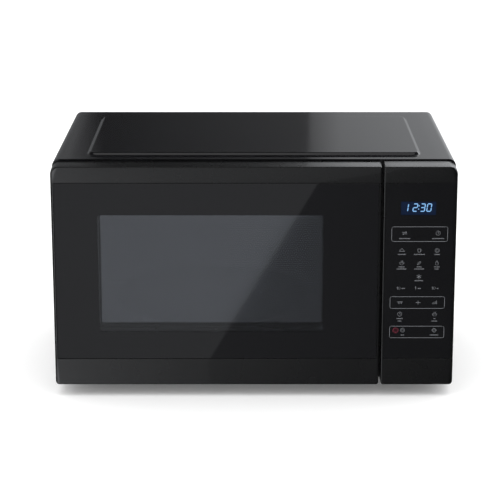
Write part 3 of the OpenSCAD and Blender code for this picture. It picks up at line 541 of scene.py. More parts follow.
def piece(name: str, solid: Solid, finishes: Sequence[Finish], body: str,
          index: Sequence[int] | None = None, smooth: float = 32.0,
          closed: bool = True) -> bpy.types.Object:
    """Makes one piece from points in millimetres, merged, outward and dressed.

    Args:
        name: the piece's name.
        solid: points in millimetres and faces.
        finishes: the finishes of its material slots.
        body: the CAD body that it rides on.
        index: material slot of each face, or None for the first slot.
        smooth: edges flatter than this many degrees are shaded smooth.
        closed: whether the normals are worked out again, as for a closed surface.

    Returns:
        The new object, riding on its body.
    """
    mesh = mesh_of(name, solid)
    for finish in finishes:
        mesh.materials.append(finish.material())
    if index is not None:
        mesh.polygons.foreach_set("material_index", np.asarray(index, np.int32))
    shell = bmesh.new()
    shell.from_mesh(mesh)
    bmesh.ops.remove_doubles(shell, verts=shell.verts, dist=MERGE)
    bmesh.ops.dissolve_degenerate(shell, dist=MERGE / 10, edges=shell.edges)
    if closed:
        bmesh.ops.recalc_face_normals(shell, faces=shell.faces)
    shell.to_mesh(mesh)
    shell.free()
    made = placed(name, mesh)
    shade(made, smooth)
    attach(made, body)
    LOG.info("%s: %d faces on %s", name, len(mesh.polygons), body)
    return made


def shade(made: bpy.types.Object, smooth: float) -> None:
    """Shades a piece smooth, but for edges sharper than so many degrees."""
    made.data.shade_smooth()
    made.data.set_sharp_from_angle(angle=math.radians(smooth))


def carve(made: bpy.types.Object, changes: Sequence[tuple[str, Solid]], smooth: float) -> None:
    """Joins solids to a piece or cuts them from it, and keeps the result as its mesh.

    Args:
        made: the piece.
        changes: pairs of "UNION" or "DIFFERENCE" and a solid in millimetres.
        smooth: edges flatter than this many degrees are shaded smooth.
    """
    helpers = []
    for count, (operation, solid) in enumerate(changes):
        tool = placed(f"tool_{count}", mesh_of(f"tool_{count}", solid))
        tool.data.materials.append(made.data.materials[0])
        step = made.modifiers.new(f"carve_{count}", "BOOLEAN")
        step.operation, step.solver, step.object = operation, "EXACT", tool
        helpers.append(tool)
    bake(made, smooth)
    for tool in helpers:
        bpy.data.objects.remove(tool)


def bake(made: bpy.types.Object, smooth: float) -> None:
    """Keeps the result of a piece's modifiers as its mesh, and shades it again.

    Args:
        made: the piece.
        smooth: edges flatter than this many degrees are shaded smooth.
    """
    bpy.context.view_layer.update()
    graph = bpy.context.evaluated_depsgraph_get()
    result = bpy.data.meshes.new_from_object(made.evaluated_get(graph))
    made.modifiers.clear()
    made.data = result
    shade(made, smooth)


def thicken(made: bpy.types.Object, wall_mm: float, smooth: float) -> None:
    """Gives an open sheet its wall, inwards from the modelled side.

    Args:
        made: the sheet.
        wall_mm: thickness in millimetres.
        smooth: edges flatter than this many degrees are shaded smooth.
    """
    wall = made.modifiers.new("wall", "SOLIDIFY")
    wall.thickness, wall.offset, wall.use_even_offset = wall_mm * MM, -1.0, True
    bake(made, smooth)


@dataclass
class SubAssembly:
    """A part of the oven that keeps some CAD nodes as they are and dresses them."""

    nodes: tuple[str, ...] = ()

    def dress(self) -> None:
        """Gives each kept CAD node the finish of its material slot."""
        slots = {part["node"]: part["material_slot"] for part in frame["record"]["subparts"]}
        for name in self.nodes:
            finish = FINISHES[slots[name]]
            node = frame["nodes"][name]
            if not node.material_slots:
                node.data.materials.append(finish.material())
            for place in node.material_slots:
                place.material = finish.material()
            LOG.info("%s: %s", name, finish.name)


# ---------------------------------------------------------------------------------------------
# Studio
# ---------------------------------------------------------------------------------------------

@dataclass
class Studio:
    """Camera, pale floor and soft light. Distances are in metres.

    The front cards stand beside the camera: a bright one whose slanted right edge runs from
    edge_top down to edge_low, and dimmer ones at its sides. The back cards stand behind the oven,
    and light its top. Those on the right are brighter above split, by the factor lift.
    """

    camera_back: float = 2.2474
    camera_up: float = 0.7939
    camera_tilt: float = 75.10
    lens: float = 132.05
    shift: float = -0.008
    floor_half: float = 30.0
    white: float = 1.3
    dim: float = 0.03
    edge_top: float = 0.591
    edge_low: float = -0.118
    edge_end: float = -0.7
    front_x: tuple[float, float, float] = (-2.4, -0.62, 1.0)
    front_z: tuple[float, float] = (-2.0, 0.5)
    back_y: float = 2.5
    back_z: tuple[float, float] = (-0.4, 2.2)
    split: float = 1.15
    lift: float = 2.4
    back: tuple[tuple[str, float, float, tuple[float, float]], ...] = (
        ("card_back_far_left", -3.0, -0.53, (0.35, 0.17)),
        ("card_back_left", -0.53, -0.42, (0.17, 0.035)),
        ("card_back_middle", -0.42, 0.151, (0.028, 0.085)),
        ("card_back_right", 0.151, 0.23, (0.19, 0.36)),
        ("card_back_far_right", 0.23, 3.2, (0.37, 1.8)))

    def camera(self) -> None:
        """Places the camera in front of the oven and a little above it."""
        data = bpy.data.cameras.new("view")
        data.lens, data.sensor_width, data.shift_x = self.lens, 36.0, self.shift
        data.clip_end = 200.0
        eye = placed("view", data)
        eye.location = (0.0, CAD_BOX[0][1] - self.camera_back, self.camera_up)
        eye.rotation_euler = (math.radians(self.camera_tilt), 0.0, 0.0)
        bpy.context.scene.camera = eye

    def floor(self) -> None:
        """Lays the pale floor, which glossy surfaces don't mirror."""
        half = self.floor_half / MM
        points = np.array([[-half, -half, 0], [half, -half, 0], [half, half, 0], [-half, half, 0]])
        paper = Finish("white_paper", "fafafa", "f8f8f8", Grain.MOULDED, (0.8, 0.9),
                       patch_mm=400, grain_mm=3, depth_mm=0.01, glow="ffffff",
                       glow_strength=0.11)
        made = placed("pale_floor", mesh_of("pale_floor", (points, [[0, 1, 2, 3]])))
        made.data.materials.append(paper.material())
        made.visible_glossy = False

    def sky(self) -> None:
        """White surroundings for the eye and for soft light, dim ones for mirror reflections."""
        world = bpy.data.worlds.new("soft_white")
        bpy.context.scene.world = world
        world.use_nodes = True
        tree = world.node_tree
        tree.nodes.clear()
        white = add_node(tree, "ShaderNodeBackground", None,
                         {"Color": (1, 1, 1, 1), "Strength": self.white}).outputs[0]
        dim = add_node(tree, "ShaderNodeBackground", None,
                       {"Color": (1, 1, 1, 1), "Strength": self.dim}).outputs[0]
        path = add_node(tree, "ShaderNodeLightPath").outputs["Is Glossy Ray"]
        both = add_node(tree, "ShaderNodeMixShader", None, {0: path, 1: white, 2: dim}).outputs[0]
        add_node(tree, "ShaderNodeOutputWorld", None, {"Surface": both})

    def card(self, name: str, corners: Sequence[Sequence[float]],
             strength: tuple[float, float]) -> None:
        """Hangs a glowing card that only glossy surfaces see.

        Args:
            name: the card's name.
            corners: its corners in metres.
            strength: its brightness at its left and its right end, where white is 1.
        """
        mesh = bpy.data.meshes.new(name)
        mesh.from_pydata([list(corner) for corner in corners], [], [list(range(len(corners)))])
        made_of = bpy.data.materials.new(name)
        made_of.use_nodes = True
        tree = made_of.node_tree
        tree.nodes.clear()
        level: Any = strength[0]
        if strength[0] != strength[1]:
            spot = add_node(tree, "ShaderNodeTexCoord").outputs["Object"]
            across = add_node(tree, "ShaderNodeSeparateXYZ", None, {0: spot}).outputs[0]
            ends = [corner[0] for corner in corners]
            level = add_node(tree, "ShaderNodeMapRange", None,
                             {"Value": across, "From Min": min(ends), "From Max": max(ends),
                              "To Min": strength[0], "To Max": strength[1]}).outputs["Result"]
        light = add_node(tree, "ShaderNodeEmission", None,
                         {"Color": (0.95, 0.97, 1.0, 1.0), "Strength": level}).outputs[0]
        add_node(tree, "ShaderNodeOutputMaterial", None, {"Surface": light})
        mesh.materials.append(made_of)
        made = placed(name, mesh)
        made.visible_camera = made.visible_diffuse = made.visible_transmission = False
        made.visible_shadow = made.visible_volume_scatter = False

    def lamp(self, name: str, place: Sequence[float], size: tuple[float, float],
             power: float) -> None:
        """Hangs a soft box that faces the oven.

        Args:
            name: the lamp's name.
            place: where it hangs, in metres.
            size: its width and height.
            power: its power in watts.
        """
        aim = Vector((0.0, 0.0, 0.2))
        data = bpy.data.lights.new(name, "AREA")
        data.shape, data.size, data.size_y, data.energy = "RECTANGLE", size[0], size[1], power
        made = placed(name, data)
        made.location = place
        made.rotation_euler = (aim - Vector(place)).to_track_quat("-Z", "Y").to_euler()

    def front_cards(self) -> None:
        """Hangs the three cards that the oven's front mirrors."""
        front = CAD_BOX[0][1] - self.camera_back
        end, near, far = self.front_x
        low, high = self.front_z
        slant = [(self.edge_top, high), (self.edge_low, self.edge_end), (self.edge_low, low)]
        self.card("card_front_left", [(near, front, low)] + [
            (x, front, z) for x, z in slant[::-1]] + [(near, front, high)], (0.50, 0.50))
        self.card("card_front_right", [(far, front, high)] + [
            (x, front, z) for x, z in slant] + [(far, front, low)], (0.23, 0.04))
        self.card("card_front_far_left", [(end, front, low), (near, front, low),
                                          (near, front, high), (end, front, high)], (2.2, 2.2))

    def back_cards(self) -> None:
        """Hangs the cards that the oven's top mirrors, each in a lower and an upper half."""
        low, high = self.back_z
        for name, left, right, glow in self.back:
            lift = self.lift if left > 0 else 1.0
            for end, bottom, top, gain in (("", low, self.split, 1.0),
                                           ("_high", self.split, high, lift)):
                self.card(name + end, [(left, self.back_y, bottom), (right, self.back_y, bottom),
                                       (right, self.back_y, top), (left, self.back_y, top)],
                          (glow[0] * gain, glow[1] * gain))

    def build(self) -> None:
        """Builds the whole studio, camera first."""
        self.camera()
        self.floor()
        self.sky()
        self.front_cards()
        self.back_cards()
        self.lamp("soft_box_top", (0.0, -0.3, 2.4), (2.8, 1.4), 10.0)
        self.lamp("soft_box_left", (-2.6, -0.8, 1.0), (1.2, 1.6), 9.0)
        self.lamp("soft_box_right", (2.6, 0.6, 1.2), (1.2, 1.6), 7.0)
        bpy.context.scene.view_settings.view_transform = "Standard"


# ---------------------------------------------------------------------------------------------
# Cabinet
# ---------------------------------------------------------------------------------------------

@dataclass
class Vent:
    """Rows of slots in one side of the cabinet: y and z of the first slot, counts and sizes."""

    side: int
    y: float
    z: float
    columns: int
    rows: int
    pitch: tuple[float, float] = (34.0, 8.0)
    size: tuple[float, float] = (28.0, 3.2)

    def edges(self, axis: int) -> np.ndarray:
        """Both edges of every slot.

        Args:
            axis: 0 along y, or 1 along z.

        Returns:
            The edges in rising order.
        """
        start = np.array([self.y, self.z][axis])
        count = [self.columns, self.rows][axis]
        near = start + self.pitch[axis] * np.arange(count)
        return np.sort(np.concatenate([near, near + self.size[axis]]))

    def holds(self, x: np.ndarray, y: np.ndarray, z: np.ndarray) -> np.ndarray:
        """Tells which of these points on the sheet lie in a slot.

        Args:
            x: places across the oven.
            y: places along it.
            z: heights.

        Returns:
            True for each point in a slot.
        """
        step_y, step_z = (y - self.y) / self.pitch[0], (z - self.z) / self.pitch[1]
        inside = (step_y >= 0) & (step_y < self.columns) & (step_z >= 0) & (step_z < self.rows)
        in_y = (y - self.y) % self.pitch[0] < self.size[0]
        in_z = (z - self.z) % self.pitch[1] < self.size[1]
        return inside & in_y & in_z & (x * self.side > 0)


@dataclass
class Cabinet(SubAssembly):
    """Folded steel cabinet with a raised field in its top, rear panel, base and feet."""

    nodes: tuple[str, ...] = ("base_plate", "rear_panel", "rear_duct_cover", "rear_spacers",
                              "front_plate", "feet", "cord_gland", "case_screws",
                              "upper_hinge", "lower_hinge", "hinge_screws")
    edge_r: float = 9.0
    wall: float = 1.0
    rise: float = 3.5
    field_x: float = 214.0
    field_y: tuple[float, float] = (49.0, 308.0)
    field_r: float = 14.0
    slope: tuple[float, float] = (4.0, 6.5)
    vent_right: tuple[float, float, int, int] = (215.0, 120.0, 2, 12)
    vent_left: tuple[float, float, int, int] = (250.0, 215.0, 2, 7)
    flat_x: tuple[float, float] = (196.0, 230.0)
    flat_steps: int = 44
    field_steps: int = 34
    rim: tuple[tuple[float, float], ...] = ((0.25, 0.3), (0.9, 0.0), (13.0, 0.0))

    def raised(self, x: np.ndarray, y: np.ndarray, front: float) -> np.ndarray:
        """Height of the raised field over the flat top.

        The share of the way up the slope is worked out along x and along y, and a rounded
        corner joins them: the distance in from a rounded rectangle, divided by the slope's width
        there. The share goes through a smooth step, 3t^2 - 2t^3, and is multiplied by the rise.

        Args:
            x: place across the oven.
            y: place along the oven.
            front: the oven's front face.

        Returns:
            The height at each point.
        """
        middle = front + sum(self.field_y) / 2
        half = np.array([self.field_x, (self.field_y[1] - self.field_y[0]) / 2]) - self.field_r
        out = np.stack([np.abs(x) - half[0], np.abs(y - middle) - half[1]], axis=-1)
        past = np.maximum(out, 0)
        reach = np.linalg.norm(past, axis=-1)
        beyond = np.where(reach > 0, reach, out.max(-1))
        turn = np.where(reach > 0, past[..., 1] / np.maximum(reach, 1e-9), 0) ** 2
        turn = np.where(reach > 0, turn, (out[..., 1] > out[..., 0]).astype(float))
        width = self.slope[0] + (self.slope[1] - self.slope[0]) * turn
        share = np.clip((self.field_r - beyond) / width, 0, 1)
        return self.rise * share * share * (3 - 2 * share)

    def shell(self) -> None:
        """Folded sheet: an arch-shaped profile carried along y, with slots left out of its grid.

        The profile goes up the left side, round a quarter turn, over the top, round another and
        down the right side. The grid is finer across the slope of the raised field and has a line
        on every slot's edge. At the rear it folds in over three rims to the flange.
        """
        low, high = mm_box("cabinet_wrap")
        front = CAD_BOX[0][1] / MM
        top = high[2] - self.rise
        vents = [Vent(side, front + ahead, *rest) for side, (ahead, *rest) in
                 ((1, self.vent_right), (-1, self.vent_left))]
        rise_z = np.unique(np.concatenate([[low[2]], vents[0].edges(1), vents[1].edges(1),
                                           np.linspace(low[2], vents[0].z, 6),
                                           [high[2] - self.rise - self.edge_r]]))
        rise_z = rise_z[rise_z <= top - self.edge_r]
        turn = np.linspace(0, QUARTER, 9)[1:-1]
        band = np.arange(self.field_x - self.field_r - 2, self.field_x + 1.01, 1.0)
        inner_x, outer_x = self.flat_x
        span = np.concatenate([[low[0] + self.edge_r, -outer_x], -band[::-1],
                               np.linspace(-inner_x, inner_x, self.flat_steps), band,
                               [outer_x, high[0] - self.edge_r]])
        left = np.stack([np.full(len(rise_z), low[0]), rise_z], 1)
        right = np.stack([np.full(len(rise_z), high[0]), rise_z[::-1]], 1)
        bend = self.edge_r * np.stack([np.cos(turn), np.sin(turn)], 1)
        bend_l = [low[0] + self.edge_r, top - self.edge_r] + bend * [-1, 1]
        bend_r = ([high[0] - self.edge_r, top - self.edge_r] + bend)[::-1]
        flat = np.stack([span, np.full(len(span), top)], 1)
        profile = np.concatenate([left, bend_l, flat, bend_r, right])
        near = front + self.field_y[0] + np.arange(-1, self.field_r + 3, 1.0)
        far = front + self.field_y[1] - np.arange(-1, self.field_r + 3, 1.0)
        depth = np.unique(np.concatenate([
            [low[1], low[1] + 0.4, low[1] + 3], near, far, vents[0].edges(0), vents[1].edges(0),
            np.linspace(near[-1], far[-1], self.field_steps),
            np.linspace(far[0], high[1] - 0.9, 6)]))
        x = np.broadcast_to(profile[:, 0], (len(depth), len(profile)))
        z = np.broadcast_to(profile[:, 1], x.shape)
        y = np.broadcast_to(depth[:, None], x.shape)
        lift = np.where(z > top - 0.01, self.raised(x, y, front), 0)
        rows = [np.stack([x, y, z + lift], -1)]
        for inset, back in self.rim:
            inner = np.clip(profile, [low[0] + inset, -1e3], [high[0] - inset, top - inset])
            rows.append(ring_y(inner, high[1] - back)[None])
        points = np.concatenate(rows)
        faces = grid_faces(points.shape[0], points.shape[1], False, False)
        flat_points = points.reshape(-1, 3)
        middle = flat_points[faces].mean(1)
        open_slot = np.zeros(len(faces), bool)
        for vent in vents:
            open_slot |= vent.holds(middle[:, 0], middle[:, 1], middle[:, 2])
        made = piece("cabinet_shell", (flat_points, faces[~open_slot].tolist()),
                     [BLACK_PAINT], "cabinet", closed=False, smooth=40)
        thicken(made, self.wall, 35)
        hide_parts("cabinet_wrap")

    def build(self) -> None:
        """Builds the shell and dresses the rest."""
        self.shell()
        self.dress()


# ---------------------------------------------------------------------------------------------
# Front mouldings
# ---------------------------------------------------------------------------------------------

class Side(Enum):
    """The side of a moulding that has the wide rounded edge."""

    LEFT = -1
    RIGHT = 1


@dataclass
class Moulding:
    """Hollow front moulding, open at the back, with a recess in its face and a hole through it."""

    low: np.ndarray
    high: np.ndarray
    radii: tuple[float, float, float, float]
    inner_radii: tuple[float, float, float, float]
    side: Side
    recess: tuple[Sequence[float], Sequence[float], float, float]
    hole: tuple[Sequence[float], Sequence[float], float]
    wall: float
    front_wall: float
    back_soft: float
    collar: tuple[float, float] | None = None
    top_fall: float = 2.0
    edge: float = 1.0
    wide: tuple[float, float] = (3.0, 5.0)
    rim_soft: float = 0.15
    lip_soft: float = 0.25
    arc: int = 8
    run: int = 8
    turns: int = 6

    def sideness(self) -> np.ndarray:
        """One on the wide side, falling to nothing round its two corners as a squared cosine.

        Returns:
            The share at each point of the outline.
        """
        turn = np.linspace(0, QUARTER, self.arc + 1)
        leave, enter = np.cos(turn) ** 2, np.sin(turn) ** 2
        none, full = np.zeros(self.arc + 1), np.ones(self.run - 1)
        quiet = np.zeros(self.run - 1)
        if self.side is Side.LEFT:
            return np.concatenate([leave, quiet, none, quiet, none, quiet, enter, full])
        return np.concatenate([none, quiet, enter, full, leave, quiet, none, quiet])

    def ring(self, inset: float, wide: float, y: np.ndarray | float) -> np.ndarray:
        """Outer outline drawn in by an inset, and by another on the wide side, at depth y.

        The top falls evenly towards the front.

        Args:
            inset: distance in on the plain sides.
            wide: distance in on the wide side.
            y: depth, one for all points or one for each.

        Returns:
            The ring's points.
        """
        depth = float(np.min(y)) - self.low[1]
        fall = self.top_fall * (1 - depth / (self.high[1] - self.low[1]))
        left, right = (wide, inset) if self.side is Side.LEFT else (inset, wide)
        flat = outline([self.low[0] + left, self.low[2] + inset],
                       [self.high[0] - right, self.high[2] - fall - inset],
                       np.maximum(np.array(self.radii) - inset, 0.3), self.arc, self.run)
        return ring_y(flat, y)

    def solid(self) -> Solid:
        """Closed surface: face, rounded edge, outer wall, back rim, inner walls and recess.

        Each rounded edge goes a quarter turn: the inset is its radius times one minus the sine,
        and the depth its radius times one minus the cosine.

        Returns:
            Points and faces.
        """
        near, far = self.low[1], self.high[1]
        weight = self.sideness()
        rings = []
        for turn in np.linspace(0, QUARTER, self.turns):
            rest, gone = 1 - math.sin(turn), 1 - math.cos(turn)
            deep = self.edge + (self.wide[1] - self.edge) * weight
            rings.append(self.ring(self.edge * rest, self.wide[0] * rest, near + deep * gone))
        rings.append(self.ring(0, 0, (near + far) / 2))
        soft = self.rim_soft + (self.back_soft - self.rim_soft) * weight
        for turn in np.linspace(0, QUARTER, self.turns):
            gone, rest = 1 - math.cos(turn), 1 - math.sin(turn)
            rings.append(self.ring(self.rim_soft * gone, (self.wall - 0.3) * gone,
                                   far - soft * rest))
        inner = outline([self.low[0] + self.wall, self.low[2] + self.wall],
                        [self.high[0] - self.wall, self.high[2] - self.top_fall - self.wall],
                        self.inner_radii, self.arc, self.run)
        rings += [ring_y(inner, far), ring_y(inner, near + self.front_wall)]
        hole_low, hole_high, hole_r = self.hole
        through = outline(hole_low, hole_high, hole_r, self.arc, self.run)
        if self.collar:
            grow, end = self.collar
            outer = outline(np.array(hole_low) - grow, np.array(hole_high) + grow, hole_r + 1,
                            self.arc, self.run)
            rings += [ring_y(outer, near + self.front_wall), ring_y(outer, end),
                      ring_y(through, end)]
        else:
            rings.append(ring_y(through, near + self.front_wall))
        low, high, radius, deep = self.recess
        lip = outline(low, high, radius, self.arc, self.run)
        soft_lip = outline(np.array(low) - self.lip_soft, np.array(high) + self.lip_soft, radius,
                           self.arc, self.run)
        rings += [ring_y(through, near + deep), ring_y(lip, near + deep),
                  ring_y(lip, near + self.lip_soft), ring_y(soft_lip, near)]
        return loft(rings, close=True)


# ---------------------------------------------------------------------------------------------
# Door
# ---------------------------------------------------------------------------------------------

@dataclass
class Door(SubAssembly):
    """Door that pulls open: moulding, glass pane, perforated screen and inner parts."""

    nodes: tuple[str, ...] = ("door_choke_pan", "door_inner_cover", "door_inner_film",
                              "hinge_bushes", "door_screws", "latch_bar", "latch_spring")
    screen_margin: float = 8.0
    hinge_in: float = 5.8
    hinge_fwd: float = 5.2
    leaf_r: float = 4.3
    leaf_in: float = 11.0
    leaf_wall: float = 1.5
    leaf_gap: float = 0.6
    bush_r: float = 3.4
    boss_height: float = 19.0
    hole_pitch: float = 3.2
    hole_share: float = 0.74
    pull: tuple[float, float] = (86.0, 150.0)
    pull_wall: float = 2.5
    window: tuple[np.ndarray, np.ndarray] = field(init=False)

    def __post_init__(self) -> None:
        """Works out the window from the screen behind it."""
        low, high = mm_box("door_screen")
        self.window = (low[[0, 2]] + self.screen_margin, high[[0, 2]] - self.screen_margin)

    def moulding(self) -> None:
        """Front moulding with the hinge pockets, the bosses round the bushes and the finger pull.

        The closed moulding gets a boss round each bush and a box round the finger pull, and then
        loses the hinge leaf's slot, the bush's bore and the pull's pocket.
        """
        low, high = mm_box("door_frame")
        glass_low, glass_high = mm_box("door_glass")
        screen_low, _ = mm_box("door_screen")
        window_low, window_high = self.window
        shape = Moulding(low, high, (4.5, 3, 1.5, 10), (2, 2, 2, 7), Side.LEFT,
                         (glass_low[[0, 2]] - 0.5, glass_high[[0, 2]] + 0.5, 1.2, 3.2),
                         (window_low - 1, window_high + 1, 4.0), wall=3.0, front_wall=6.0,
                         back_soft=self.hinge_fwd, collar=(2.0, screen_low[1]))
        made = piece("door_moulding", shape.solid(), [BLACK_ABS], "door")
        axis = np.array([low[0] + self.hinge_in, high[1] - self.hinge_fwd])
        changes: list[tuple[str, Solid]] = []
        lower, upper = mm_box("lower_hinge"), mm_box("upper_hinge")
        leaves = (lower[0][2] + self.leaf_in, upper[1][2] - self.leaf_in - self.leaf_wall)
        for leaf, up in zip(leaves, (1, -1)):
            start = (leaf + self.leaf_wall + self.leaf_gap if up > 0
                     else leaf - (self.leaf_gap + self.boss_height))
            boss = outline([low[0] + 2.0, axis[1] - 10], [low[0] + 12, high[1]],
                           (0.5, 0.5, 0.5, 4.6), 5, 1)
            changes.append(("UNION", self.column(boss, start, start + self.boss_height)))
        front = low[1]
        changes.append(("UNION", boxes(
            [self.pull[0] - self.pull_wall, front + 4, low[2] + 0.6],
            [self.pull[1] + self.pull_wall, front + 20.5, low[2] + 17.5])))
        for leaf, up in zip(leaves, (1, -1)):
            changes.append(("DIFFERENCE", boxes(
                [low[0] - 1, axis[1] - 6.6, leaf - self.leaf_gap],
                [axis[0] + self.leaf_r + 0.9, high[1] + 1,
                 leaf + (self.leaf_wall + self.leaf_gap)])))
            bore = outline(axis - self.bush_r, axis + self.bush_r, self.bush_r - 1e-4, 7, 1)
            ends = (leaf + 1, leaf + 18.5) if up > 0 else (leaf - 17, leaf + 0.5)
            changes.append(("DIFFERENCE", self.column(bore, *ends)))
        pocket = outline([self.pull[0], front + 6], [self.pull[1], front + 18], 4.0, 6, 2)
        changes.append(("DIFFERENCE", self.column(pocket, low[2] - 1, low[2] + 15)))
        carve(made, changes, 32)
        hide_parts("door_frame")

    @staticmethod
    def column(flat: np.ndarray, start: float, end: float) -> Solid:
        """Upright prism on an (x, y) outline between two heights."""
        rings = [np.column_stack([flat, np.full(len(flat), height)]) for height in (start, end)]
        return loft(rings)

    def pane(self) -> None:
        """Glass pane with ground edges: black print round a smoked window."""
        low, high = mm_box("door_glass")
        edge = outline(low[[0, 2]], high[[0, 2]], 1.2, 8, 8)
        eased = outline(low[[0, 2]] + 0.35, high[[0, 2]] - 0.35, 1.0, 8, 8)
        window = outline(*self.window, 3.0, 8, 8)
        rings = [ring_y(window, high[1]), ring_y(edge, high[1]), ring_y(edge, low[1] + 0.35),
                 ring_y(eased, low[1]), ring_y(window, low[1])]
        solid = loft(rings)
        index = np.zeros(len(solid[1]), np.int32)
        index[-2:] = 1
        made = piece("door_pane", solid, [BLACK_GLASS, WINDOW_GLASS], "door", index)
        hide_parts("door_glass")

    def screen(self) -> None:
        """Perforated sheet: staggered six-sided holes, each in a brick-shaped cell.

        A cell's outline has six points, its four corners and the middles of its long sides, and
        each is joined to one corner of the hole. Real holes are finer, and are drawn coarse
        enough here to show.
        """
        low, high = mm_box("door_screen")
        window_low, window_high = self.window
        size = window_high - window_low
        columns = int(size[0] // self.hole_pitch)
        pitch_x = size[0] / columns
        rows = int(size[1] // (self.hole_pitch * 0.866)) // 2 * 2 + 1
        pitch_z = size[1] / rows
        half = np.array([pitch_x, pitch_z]) / 2
        rim = np.array([[-1, -1], [0, -1], [1, -1], [1, 1], [0, 1], [-1, 1]]) * half
        turn = np.radians([-150, -90, -30, 30, 90, 150])
        hole = self.hole_share * half.min() * np.stack([np.cos(turn), np.sin(turn)], 1)
        cell = np.concatenate([rim, hole])
        row, column = np.meshgrid(np.arange(rows), np.arange(columns), indexing="ij")
        odd = row % 2 == 1
        keep = ~(odd & (column == columns - 1))
        centre = np.stack([window_low[0] + half[0] * (2 * column + 1 + odd),
                           window_low[1] + half[1] * (2 * row + 1)], -1)[keep]
        points = (centre[:, None] + cell[None]).reshape(-1, 2)
        here = np.arange(6)
        quads = np.stack([here, (here + 1) % 6, (here + 1) % 6 + 6, here + 6], 1)
        faces = (quads[None] + 12 * np.arange(len(centre))[:, None, None]).reshape(-1, 4)
        odd_rows = np.arange(1, rows, 2)
        corner = np.array([[0, 0], [1, 0], [1, 1], [0, 1]]) * np.array([half[0], 2 * half[1]])
        starts = np.concatenate([
            np.stack([np.full(len(odd_rows), edge), window_low[1] + odd_rows * pitch_z], 1)
            for edge in (window_low[0], window_high[0] - half[0])])
        fill = (starts[:, None] + corner[None]).reshape(-1, 2)
        fill_faces = np.arange(len(fill)).reshape(-1, 4) + len(points)
        along_x = window_low[0] + half[0] * np.arange(2 * columns + 1)
        along_z = window_low[1] + pitch_z * np.arange(rows + 1)
        inner = np.concatenate([
            np.stack([along_x, np.full_like(along_x, window_low[1])], 1)[:-1],
            np.stack([np.full_like(along_z, window_high[0]), along_z], 1)[:-1],
            np.stack([along_x[::-1], np.full_like(along_x, window_high[1])], 1)[:-1],
            np.stack([np.full_like(along_z, window_low[0]), along_z[::-1]], 1)[:-1]])
        middle = (window_low + window_high) / 2
        outer = middle + (inner - middle) * ((high - low)[[0, 2]] / size)
        border = grid_faces(2, len(inner), False, True) + len(points) + len(fill)
        flat = np.concatenate([points, fill, outer, inner])
        solid = ring_y(flat, low[1]), faces.tolist() + fill_faces.tolist() + border.tolist()
        made = piece("window_screen", solid, [FINISHES["perforated_steel"]], "door",
                     closed=False, smooth=20)
        thicken(made, high[1] - low[1], 20)
        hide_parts("door_screen")

    def build(self) -> None:
        """Builds the door's new pieces and dresses the rest."""
        self.moulding()
        self.pane()
        self.screen()
        self.dress()


# ---------------------------------------------------------------------------------------------
# Control panel
# ---------------------------------------------------------------------------------------------

def arc_lines(centre: tuple[float, float], radius: float, start: float, end: float,
              steps: int = 12) -> np.ndarray:
    """Arc as short lines between points at the radius times (cos, sin) of evenly spaced angles.

    Args:
        centre: x and z of its centre.
        radius: its radius.
        start: its first angle in degrees.
        end: its last angle in degrees.
        steps: number of lines.

    Returns:
        Rows of x0, z0, x1, z1.
    """
    turn = np.radians(np.linspace(start, end, steps + 1))
    points = np.array(centre) + radius * np.stack([np.cos(turn), np.sin(turn)], 1)
    return np.hstack([points[:-1], points[1:]])


def path_lines(*points: tuple[float, float], close: bool = False) -> np.ndarray:
    """Path through points as lines, rows of x0, z0, x1, z1."""
    spots = np.array(points + points[:1] if close else points, float)
    return np.hstack([spots[:-1], spots[1:]])


